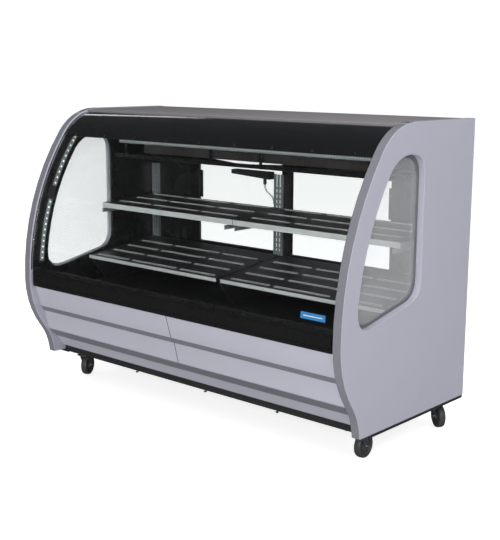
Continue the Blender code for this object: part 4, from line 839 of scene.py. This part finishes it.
# %% Lamps on the light bar
bar_face = REAR_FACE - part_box("light_bar")[0].y
bar_base = HEIGHT - 0.170
front_turn = Vector((0, -1, 0)).to_track_quat("Z", "Y").to_matrix().to_4x4()
COVER_HALF = 0.802
cover = block("light_bar_cover", at(-COVER_HALF, bar_face + 0.0014, bar_base + 0.003),
              at(COVER_HALF, bar_face + 0.0002, bar_base + 0.021), 0)
pick_faces(cover, lambda face: face.normal.y < -0.9)
bpy.ops.mesh.inset(thickness=0.002)
bpy.ops.transform.translate(value=(0, -0.0004, 0))
done()
hand_over(soften(cover, 0.0004), BAR_LENS, "cabinet")
chips = []
small = front_turn @ Matrix.Scale(0.62, 4)
for step in range(114):
    chips.append(twin(CHIP, at(-0.791 + 0.014 * step, bar_face + 0.0018, bar_base + 0.012), small))
hand_over(join("light_bar_chips", chips), UNLIT, "cabinet")
for master in (COVER, CHIP):
    bpy.data.objects.remove(master)

# %% [markdown]
# ## Slotted posts
# The shelves hook into upright channels with a row of slots. A slot could be a dark patch in the
# finish, but real holes catch the light, so a fine grid is added, the faces where slots go are
# deleted, and the sheet gets its thickness and turned-back sides.

# %% A slotted channel
def slotted_channel(name, left, right, near, far, low, high, columns, pitch=0.0254, slot=(0.0042, 0.0165)):
    """A sheet face with slots, and two sides folded back towards the wall."""
    rows = int((high - low - 0.02) / pitch)
    xs = [left]
    for middle in columns:
        xs += [middle - slot[0] / 2, middle + slot[0] / 2]
    xs.append(right)
    zs = [low]
    for row in range(rows):
        bottom = low + 0.01 + row * pitch
        zs += [bottom, bottom + slot[1]]
    zs.append(high)
    bpy.ops.object.select_all(action="DESELECT")
    bpy.ops.mesh.primitive_grid_add(x_subdivisions=len(xs) - 1, y_subdivisions=len(zs) - 1, size=1)
    obj = bpy.context.object
    obj.name = name
    for vertex in obj.data.vertices:
        column = round((vertex.co.x + 0.5) * (len(xs) - 1))
        row = round((vertex.co.y + 0.5) * (len(zs) - 1))
        vertex.co = at(xs[column], far, zs[row])
    pick_faces(obj, lambda face: any(abs(face.center.x - middle) < slot[0] / 4 for middle in columns)
               and (face.center.z - low - 0.01) % pitch < slot[1] and face.center.z < high - 0.011
               and face.center.z > low + 0.01)
    bpy.ops.mesh.delete(type="FACE")
    done()
    pick_verts(obj, lambda vertex: abs(vertex.co.x - left) < 1e-5)
    bpy.ops.mesh.extrude_edges_move(TRANSFORM_OT_translate={"value": (0, far - near, 0)})
    done()
    face_y = at(0, far, 0).y
    pick_verts(obj, lambda vertex: abs(vertex.co.x - right) < 1e-5 and abs(vertex.co.y - face_y) < 1e-5)
    bpy.ops.mesh.extrude_edges_move(TRANSFORM_OT_translate={"value": (0, far - near, 0)})
    done()
    face_out(obj)
    only(obj)
    wall = obj.modifiers.new("wall", "SOLIDIFY")
    wall.thickness = 0.0015
    front_face = max(obj.data.polygons, key=lambda face: abs(face.normal.y) * face.area)
    wall.offset = -1 if front_face.normal.y < 0 else 1
    bpy.ops.object.modifier_apply(modifier=wall.name)
    return smooth(face_out(obj), 30)


post_low, post_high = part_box("centre_post")
near, far = REAR_FACE - post_high.y, REAR_FACE - post_low.y
CHANNEL_SIDE = 0.012
post = slotted_channel("centre_post_channel", post_low.x, CHANNEL_SIDE, near, far, post_low.z, post_high.z,
                       (-0.026, -0.007))
hand_over(post, POST_STEEL, "cabinet", ["centre_post"])
cover = block("centre_post_cover", at(CHANNEL_SIDE + 0.0008, near, post_low.z),
              at(post_high.x, far - 0.001, post_high.z), 0)
pick_faces(cover, lambda face: face.normal.y < -0.9)
bpy.ops.mesh.inset(thickness=0.0035)
bpy.ops.transform.translate(value=(0, 0.0012, 0))
done()
hand_over(soften(cover, 0.0008), SATIN_BLACK, "cabinet")
for side, word in ((-1, "left"), (1, "right")):
    low_corner, high_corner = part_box(f"{word}_standard")
    middle = (low_corner.x + high_corner.x) / 2
    strip = slotted_channel(f"{word}_standard_channel", low_corner.x, high_corner.x,
                            REAR_FACE - high_corner.y, REAR_FACE - low_corner.y, low_corner.z,
                            high_corner.z, (middle - 0.009, middle + 0.009))
    hand_over(strip, POST_STEEL, "cabinet", [f"{word}_standard"])
print("slotted channels:", len(post.data.polygons), "faces on the middle one")

# %% [markdown]
# ## Rear doors
# Two framed panes slide in aluminium tracks behind the shelves. The frames come from the measured
# nodes, whose grooves already hold the glass; each gets a soft seal round its pane and a bright
# pull, so that the frame reads as a made thing from both sides.

# %% Sliding doors with seals and pulls
STILE = 0.030
RAIL = 0.034
SEAL = 0.004
PULL_HEIGHTS = (0.855, 0.985)
for word, body in (("left_door", "left_door"), ("right_door", "right_door")):
    edge = finished(f"{word}_frame", 0.0012, 2)
    hand_over(edge, BLACK, body, [f"{word}_frame"])
    pane = finished(f"{word}_glass", 0.0005, 1)
    hand_over(pane, GLASS, body, [f"{word}_glass"])
    low_corner, high_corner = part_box(f"{word}_frame")
    mid_reach = REAR_FACE - (low_corner.y + high_corner.y) / 2
    left, right = low_corner.x + STILE, high_corner.x - STILE
    low, high = low_corner.z + RAIL, high_corner.z - RAIL
    edges = ((left, right, low, low + SEAL), (left, right, high - SEAL, high),
             (left, left + SEAL, low + SEAL, high - SEAL), (right - SEAL, right, low + SEAL, high - SEAL))
    strips = []
    for near, far in ((mid_reach - 0.0052, mid_reach - 0.0034), (mid_reach + 0.0034, mid_reach + 0.0052)):
        strips += [block("seal", at(x0, near, z0), at(x1, far, z1), 0.0006) for x0, x1, z0, z1 in edges]
    hand_over(join(f"{word}_seal", strips), RUBBER, body)
    outer = left - STILE / 2 if word == "left_door" else right + STILE / 2
    reach = REAR_FACE - high_corner.y
    pull = block(f"{word}_pull", at(outer - 0.008, reach - 0.0035, PULL_HEIGHTS[0]),
                 at(outer + 0.008, reach - 0.0002, PULL_HEIGHTS[1]), 0)
    pick_faces(pull, lambda face: face.normal.y > 0.9)
    bpy.ops.mesh.inset(thickness=0.003)
    bpy.ops.transform.translate(value=(0, -0.0022, 0))
    done()
    hand_over(soften(pull, 0.0008), STEEL, body)
print("doors dressed")

# %% [markdown]
# ## Casters
# A caster has a stamped fork under a ball race, and a wheel with a soft tread on a hard core. The
# wheel is turned: its half outline is spun round the axle. It is modelled once at the middle of
# the world and copied to the four axles, each copy turned to the way its caster rolls.

# %% Turn the wheel
WHEEL_OUTLINE = [(0.0066, 0.0145), (0.0135, 0.0148), (0.0150, 0.0130), (0.0185, 0.0098), (0.0330, 0.0088),
                 (0.0352, 0.0105), (0.0365, 0.0138), (0.0440, 0.0146), (0.0475, 0.0128), (0.0492, 0.0088),
                 (0.0496, 0.0030), (0.0496, 0.0)]


def turned(name, outline, sides=48):
    """A body turned about X from (radius, half width) pairs, the same on both sides."""
    ring = [(x, radius) for radius, x in outline] + [(-x, radius) for radius, x in reversed(outline[:-1])]
    bpy.ops.object.select_all(action="DESELECT")
    bpy.ops.mesh.primitive_circle_add(vertices=len(ring), radius=1, fill_type="NOTHING")
    obj = bpy.context.object
    obj.name = name
    for vertex, (x, radius) in zip(obj.data.vertices, ring):
        vertex.co = (x, 0, radius)
    pick_all(obj)
    bpy.ops.mesh.spin(steps=sides, angle=2 * math.pi, center=(0, 0, 0), axis=(1, 0, 0))
    bpy.ops.mesh.select_all(action="SELECT")
    bpy.ops.mesh.remove_doubles(threshold=0.00005)
    bpy.ops.mesh.normals_make_consistent(inside=False)
    done()
    return smooth(obj, 38)


JOINTS = {joint["name"]: joint for joint in frame["joints"]}
wheel = turned("caster_wheel", WHEEL_OUTLINE)
core = turned("wheel_core", [(0.0066, 0.0147), (0.0118, 0.0150), (0.0126, 0.0142), (0.0126, 0.0)], 32)
print("wheel:", len(wheel.data.polygons), "faces")

# %% Place wheels, forks and races
NAMES = ("front_left", "front_right", "rear_left", "rear_right")
FORK_HALF = 0.0225
AXLE_HEIGHT = 0.0497
PLATE_HOLES = [(dx, dy) for dx in (-0.031, 0.031) for dy in (-0.038, 0.038)]
for name in NAMES:
    roll, swivel = JOINTS[f"{name}_roll"], JOINTS[f"{name}_swivel"]
    axle = Vector(roll["axis"])
    turn = Matrix.Rotation(math.atan2(axle.y, axle.x), 4, "Z")
    centre = Vector(roll["pos_m"])
    hand_over(twin(wheel, (centre.x, centre.y, AXLE_HEIGHT), turn), WHEEL, f"{name}_wheel",
              [f"{name}_wheel"]).name = f"{name}_tread"
    hand_over(twin(core, (centre.x, centre.y, AXLE_HEIGHT), turn), GREY_PLASTIC, f"{name}_wheel").name = f"{name}_core"
    fork = finished(f"{name}_fork", 0.0007, 2)
    hand_over(fork, ZINC, f"{name}_swivel", [f"{name}_fork"])
    pin = Vector((swivel["pos_m"][0], swivel["pos_m"][1], 0))
    race = turned("race", [(0.0225, 0.0022), (0.0272, 0.0022), (0.0282, 0.0012), (0.0282, 0.0)], 36)
    upright = Matrix.Rotation(math.pi / 2, 4, "Y")
    ring = twin(race, (pin.x, pin.y, 0.1078), upright)
    bpy.data.objects.remove(race)
    nuts = []
    for side in (-1, 1):
        away = turn @ Vector((side * (FORK_HALF - 0.0008), 0, 0))
        face = Vector((side, 0, 0)).to_track_quat("Z", "Y").to_matrix().to_4x4()
        nuts.append(twin(BOLT, centre + away, turn @ face))
    hand_over(join(f"{name}_fork_fittings", [ring] + nuts), ZINC, f"{name}_swivel")
    down = Matrix.Rotation(math.pi, 4, "X")
    plate_bolts = [twin(BOLT, (pin.x + dx, pin.y + dy, 0.1249), down) for dx, dy in PLATE_HOLES]
    hand_over(join(f"{name}_plate_bolts", plate_bolts), ZINC, "cabinet")
for master in (wheel, core):
    bpy.data.objects.remove(master)
print("four casters placed")

# %% [markdown]
# ## Finned coils
# A coil is a stack of thin aluminium fins on copper tubes that double back at the ends. One fin is
# modelled and copied; the tubes are bars, and each return bend is half a ring, spun from a circle.

# %% A coil of fins and tubes
TUBE_RADIUS = 0.0042


def return_bend(name, centre, gap, radius, side):
    bpy.ops.object.select_all(action="DESELECT")
    bpy.ops.mesh.primitive_circle_add(vertices=10, radius=radius, fill_type="NOTHING",
                                      location=centre + Vector((0, 0, gap / 2)),
                                      rotation=(0, math.pi / 2, 0))
    obj = settle(bpy.context.object)
    obj.name = name
    pick_all(obj)
    bpy.ops.mesh.spin(steps=9, angle=math.pi, center=centre, axis=(0, side, 0))
    done()
    return smooth(face_out(obj), 40)


def coil(name, left, right, near, far, low, high, fins, rows, ranks, finish_fin, node):
    fin = block("fin", at(left, near, low), at(left + 0.0012, far, high), 0)
    sheets = [twin(fin, ((right - left - 0.0012) * step / (fins - 1), 0, 0)) for step in range(fins)]
    bpy.data.objects.remove(fin)
    hand_over(join(f"{name}_fins", sheets), finish_fin, "cabinet", [node])
    tubes = []
    pitch = (high - low) / rows
    for rank in range(ranks):
        reach = near + (far - near) * (rank + 0.5) / ranks
        for row in range(rows):
            height = low + pitch * (row + 0.5)
            middle = at((left + right) / 2, reach, height)
            tubes.append(bar("tube", middle, TUBE_RADIUS, right - left + 0.006, "X", 10, 0))
            side = 1 if (row + rank) % 2 else -1
            if row + 1 < rows:
                end = right + 0.003 if side > 0 else left - 0.003
                bend_middle = at(end, reach, height + pitch / 2)
                tubes.append(return_bend("bend", bend_middle, pitch, TUBE_RADIUS, side))
    for tube in tubes:
        smooth(tube, 40)
    hand_over(join(f"{name}_tubes", tubes), COPPER, "cabinet")


low_corner, high_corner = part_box("evaporator_coil")
coil("evaporator", low_corner.x + 0.03, high_corner.x - 0.03, REAR_FACE - high_corner.y,
     REAR_FACE - low_corner.y, low_corner.z, low_corner.z + 0.128, 90, 4, 4, ALUMINIUM,
     "evaporator_coil")
low_corner, high_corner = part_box("condenser_coil")
coil("condenser", low_corner.x + 0.022, high_corner.x - 0.022, REAR_FACE - high_corner.y,
     REAR_FACE - low_corner.y - 0.004, low_corner.z + 0.002, high_corner.z, 64, 6, 2, SATIN_BLACK,
     "condenser_coil")
hangers = [block("hanger", at(x - 0.010, 0.18, HEIGHT - 0.066), at(x + 0.010, 0.29, HEIGHT - 0.0405))
           for x in (-0.60, 0.60)]
hand_over(join("evaporator_hangers", hangers), ALUMINIUM, "cabinet")
print("coils made")

# %% [markdown]
# ## Fan guard and the compressor's fittings
# The guard is a set of wire rings, each a small torus, tied by radial wires. The compressor is a
# welded steel pot: a terminal cover, two stub pipes and a weld bead make it one.

# %% Wire guard
fan = JOINTS["condenser_fan_spin"]["pos_m"]
guard_reach = 0.1225
wires = []
for radius in (0.024, 0.044, 0.064, 0.084, 0.098):
    bpy.ops.object.select_all(action="DESELECT")
    bpy.ops.mesh.primitive_torus_add(major_radius=radius, minor_radius=0.0012, major_segments=48,
                                     minor_segments=6, location=at(fan[0], guard_reach, fan[2]),
                                     rotation=(math.pi / 2, 0, 0))
    wires.append(smooth(settle(bpy.context.object), 60))
for step in range(8):
    spin = Matrix.Rotation(math.pi * step / 4, 4, "Y")
    spoke = bar("spoke", (0, 0, 0.0615), 0.0012, 0.075, "Z", 8, 0)
    wires.append(twin(spoke, at(fan[0], guard_reach + 0.0022, fan[2]), spin))
    bpy.data.objects.remove(spoke)
hand_over(join("fan_guard", wires), STEEL, "cabinet")

# %% Compressor fittings
low_corner, high_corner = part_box("compressor")
pot = Vector((0.330, (low_corner.y + high_corner.y) / 2, low_corner.z))
reach = REAR_FACE - pot.y
cover = block("terminal_cover", at(pot.x - 0.033, reach - 0.104, pot.z + 0.070),
              at(pot.x + 0.033, reach - 0.076, pot.z + 0.128), 0)
pick_faces(cover, lambda face: face.normal.y > 0.9)
bpy.ops.mesh.inset(thickness=0.006)
bpy.ops.transform.translate(value=(0, 0.004, 0))
done()
hand_over(soften(cover, 0.002, 3), GREY_PLASTIC, "cabinet")
stubs = [bar("stub", at(pot.x + dx, reach + dy, pot.z + 0.186), 0.0045, 0.040, "Z", 14, 0.0008)
         for dx, dy in ((-0.030, 0.020), (0.032, 0.012))]
hand_over(join("compressor_stubs", stubs), COPPER, "cabinet")
bead = turned("bead", [(0.0800, 0.0030), (0.0838, 0.0016), (0.0842, 0.0)], 40)
weld = twin(bead, (pot.x, pot.y, pot.z + 0.103), Matrix.Rotation(math.pi / 2, 4, "Y"))
bpy.data.objects.remove(bead)
hand_over(weld, SATIN_BLACK, "cabinet").name = "compressor_weld"
print("machine compartment dressed")

# %% [markdown]
# ## The service side
# The back is where the case is used and mended: louvred slots let the condenser breathe, panels
# are held by screws, and the thermostat has a ring of marks round its knob.

# %% Louvres in the grille
grille_low, grille_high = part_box("rear_grille")
near = REAR_FACE - grille_high.y
louvres = []
louvre = block("louvre", (-0.109, -0.0005, -0.0052), (0.109, 0.0005, 0.0052), 0.0003, 1)
tilt = Matrix.Rotation(math.radians(38), 4, "X")
for bay in (-0.72, -0.40, -0.08, 0.24):
    for row in range(7):
        height = grille_low.z + 0.030 + row * 0.030
        louvres.append(twin(louvre, at(bay, near + 0.0045, height), tilt))
bpy.data.objects.remove(louvre)
hand_over(join("grille_louvres", louvres), LILAC, "cabinet")

# %% Screws on the back
back_turn = Vector((0, 1, 0)).to_track_quat("Z", "Y").to_matrix().to_4x4()
screws = []
for x in (-0.86, -0.56, -0.24, 0.08, 0.40, 0.52, 0.57, 0.86):
    for height in (grille_low.z + 0.010, grille_high.z - 0.010):
        screws.append(twin(SCREW, at(x, near + 0.0002, height), back_turn))
wall_low, wall_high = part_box("rear_frame")
for x in (-0.84, -0.42, 0.0, 0.42, 0.84):
    for height in (wall_low.z + 0.016, wall_high.z - 0.016):
        screws.append(twin(SCREW, at(x, near + 0.0002, height), back_turn))
hand_over(join("rear_screws", screws), ZINC, "cabinet")

# %% A trim round the door opening
trim = []
TRIM_WIDTH = 0.014
half, low, high = 0.612, 0.592, HEIGHT - 0.155
for left, right, bottom, top in (
        (-half - TRIM_WIDTH, half + TRIM_WIDTH, low - TRIM_WIDTH, low),
        (-half - TRIM_WIDTH, half + TRIM_WIDTH, high, high + TRIM_WIDTH),
        (-half - TRIM_WIDTH, -half, low, high), (half, half + TRIM_WIDTH, low, high)):
    trim.append(block("trim", at(left, near - 0.0016, bottom), at(right, near - 0.0002, top), 0.0005))
hand_over(join("opening_trim", trim), ALUMINIUM, "cabinet")

# %% Marks round the thermostat and a frame round the switch
knob = Vector(JOINTS["thermostat_turn"]["pos_m"])
marks = []
mark = block("mark", (-0.0008, -0.0003, 0.0240), (0.0008, 0.0, 0.0290), 0)
for step in range(11):
    spin = Matrix.Rotation(math.radians(-135 + 27 * step), 4, "Y")
    marks.append(twin(mark, (knob.x, knob.y + 0.0002, knob.z), spin))
bpy.data.objects.remove(mark)
switch = Vector(JOINTS["light_switch_rock"]["pos_m"])
face = 0.030
for a, b in (((-0.0145, 0.0168), (0.0145, 0.0195)), ((-0.0145, -0.0195), (0.0145, -0.0168)),
             ((-0.0145, -0.0168), (-0.0108, 0.0168)), ((0.0108, -0.0168), (0.0145, 0.0168))):
    marks.append(block("bezel", at(switch.x + a[0], face - 0.0012, switch.z + a[1]),
                       at(switch.x + b[0], face - 0.0001, switch.z + b[1]), 0.0003))
hand_over(join("dial_marks_and_bezel", marks), GREY_PLASTIC, "cabinet")
for master in (SCREW, BOLT):
    bpy.data.objects.remove(master)
print("service side dressed")

# %% [markdown]
# ## Floor, light and camera
# The case stands on a plain pale floor under soft light: broad lamps on the right, in front and
# overhead, a tall narrow one for a streak on the front strips and a long thin one whose reflection
# draws the edge of the black header. Dark glass mirrors whatever stands round it, and in a studio
# that is black cloth. So the floor and the sky are white where they are seen straight or through
# glass, and dark where they would only be mirrored.

# %% Pale floor
def straight_or_scattered(tree):
    """1 for what is seen straight or through glass, and 1 for what has met a matt surface."""
    rays = tree.nodes.new("ShaderNodeLightPath")
    scattered = mathy(tree, "MINIMUM", rays.outputs["Diffuse Depth"], 1.0)
    bounced = mathy(tree, "ADD", rays.outputs["Diffuse Depth"], rays.outputs["Glossy Depth"], clamp=True)
    return mathy(tree, "SUBTRACT", 1.0, bounced), scattered


bpy.ops.object.select_all(action="DESELECT")
bpy.ops.mesh.primitive_plane_add(size=60, location=(0, 0, 0))
floor = bpy.context.object
floor.name = "pale_floor"
pale = finish("pale_floor", (0.86, 0.86, 0.86), 0.55, (0.84, 0.84, 0.84), relief=0.0, dusty=0.0)
tree = pale.node_tree
dim = tree.nodes.new("ShaderNodeBsdfDiffuse")
seen, scattered = straight_or_scattered(tree)
share = mathy(tree, "MULTIPLY_ADD", scattered, 0.74)
share.node.inputs[2].default_value = 0.06
tree.links.new(share, dim.inputs["Color"])
both = tree.nodes.new("ShaderNodeMixShader")
tree.links.new(seen, both.inputs[0])
shader = tree.nodes["Principled BSDF"]
shader.inputs["Emission Color"].default_value = (1, 1, 1, 1)
shader.inputs["Emission Strength"].default_value = 0.75
tree.links.new(dim.outputs[0], both.inputs[1])
tree.links.new(shader.outputs[0], both.inputs[2])
tree.links.new(both.outputs[0], tree.nodes["Material Output"].inputs["Surface"])
floor.data.materials.append(pale)


# %% Soft lamps
def lamp(name, place, target, width, height, power):
    data = bpy.data.lights.new(name, "AREA")
    data.shape = "RECTANGLE"
    data.size, data.size_y, data.energy = width, height, power
    obj = bpy.data.objects.new(name, data)
    obj.location = place
    obj.rotation_euler = (Vector(target) - Vector(place)).to_track_quat("-Z", "Y").to_euler()
    bpy.context.scene.collection.objects.link(obj)
    return obj


lamp("key", (5.0, -1.0, 3.2), (0.5, 0, 0.7), 3.0, 3.0, 76)
lamp("front_fill", (2.6, -5.6, 2.0), (0.2, -0.3, 0.3), 3.0, 2.0, 175)
lamp("front_streak", (3.6, -4.6, 1.6), (0.9, -0.4, 0.8), 0.4, 2.0, 20)
lamp("overhead", (1.5, 0.0, 4.5), (0.2, -0.1, 0.6), 3.0, 2.4, 90)
lamp("header_line", (-3.9, 2.6, 3.55), (0, -0.05, 1.29), 6.0, 0.22, 5)
world = bpy.data.worlds.new("pale_sky")
world.use_nodes = True
tree = world.node_tree
sky = tree.nodes["Background"]
sky.inputs["Color"].default_value = (1.0, 1.0, 1.0, 1)
seen, scattered = straight_or_scattered(tree)
fill = mathy(tree, "MULTIPLY_ADD", scattered, 0.40)
fill.node.inputs[2].default_value = 0.04
level = mathy(tree, "ADD", seen, fill)
tree.links.new(level, sky.inputs["Strength"])
bpy.context.scene.world = world
bpy.context.scene.view_settings.view_transform = "Standard"

# %% Camera
azimuth, elevation, tilt = (math.radians(value) for value in (41.5773, 11.0448, 0.2921))
forward = Vector((-math.sin(azimuth) * math.cos(elevation), math.cos(azimuth) * math.cos(elevation),
                  -math.sin(elevation)))
level = Vector((math.cos(azimuth), math.sin(azimuth), 0))
upward = level.cross(forward)
right_way = math.cos(tilt) * level + math.sin(tilt) * upward
up_way = -math.sin(tilt) * level + math.cos(tilt) * upward
camera = bpy.data.objects.new("camera", bpy.data.cameras.new("camera"))
camera.matrix_world = Matrix.Translation((3.0349, -3.3033, 1.4919)) @ Matrix(
    (right_way, up_way, -forward)).transposed().to_4x4()
camera.data.lens = 68.92
camera.data.sensor_width = 36
bpy.context.scene.collection.objects.link(camera)
bpy.context.scene.camera = camera
print("camera at", tuple(round(value, 2) for value in camera.location))
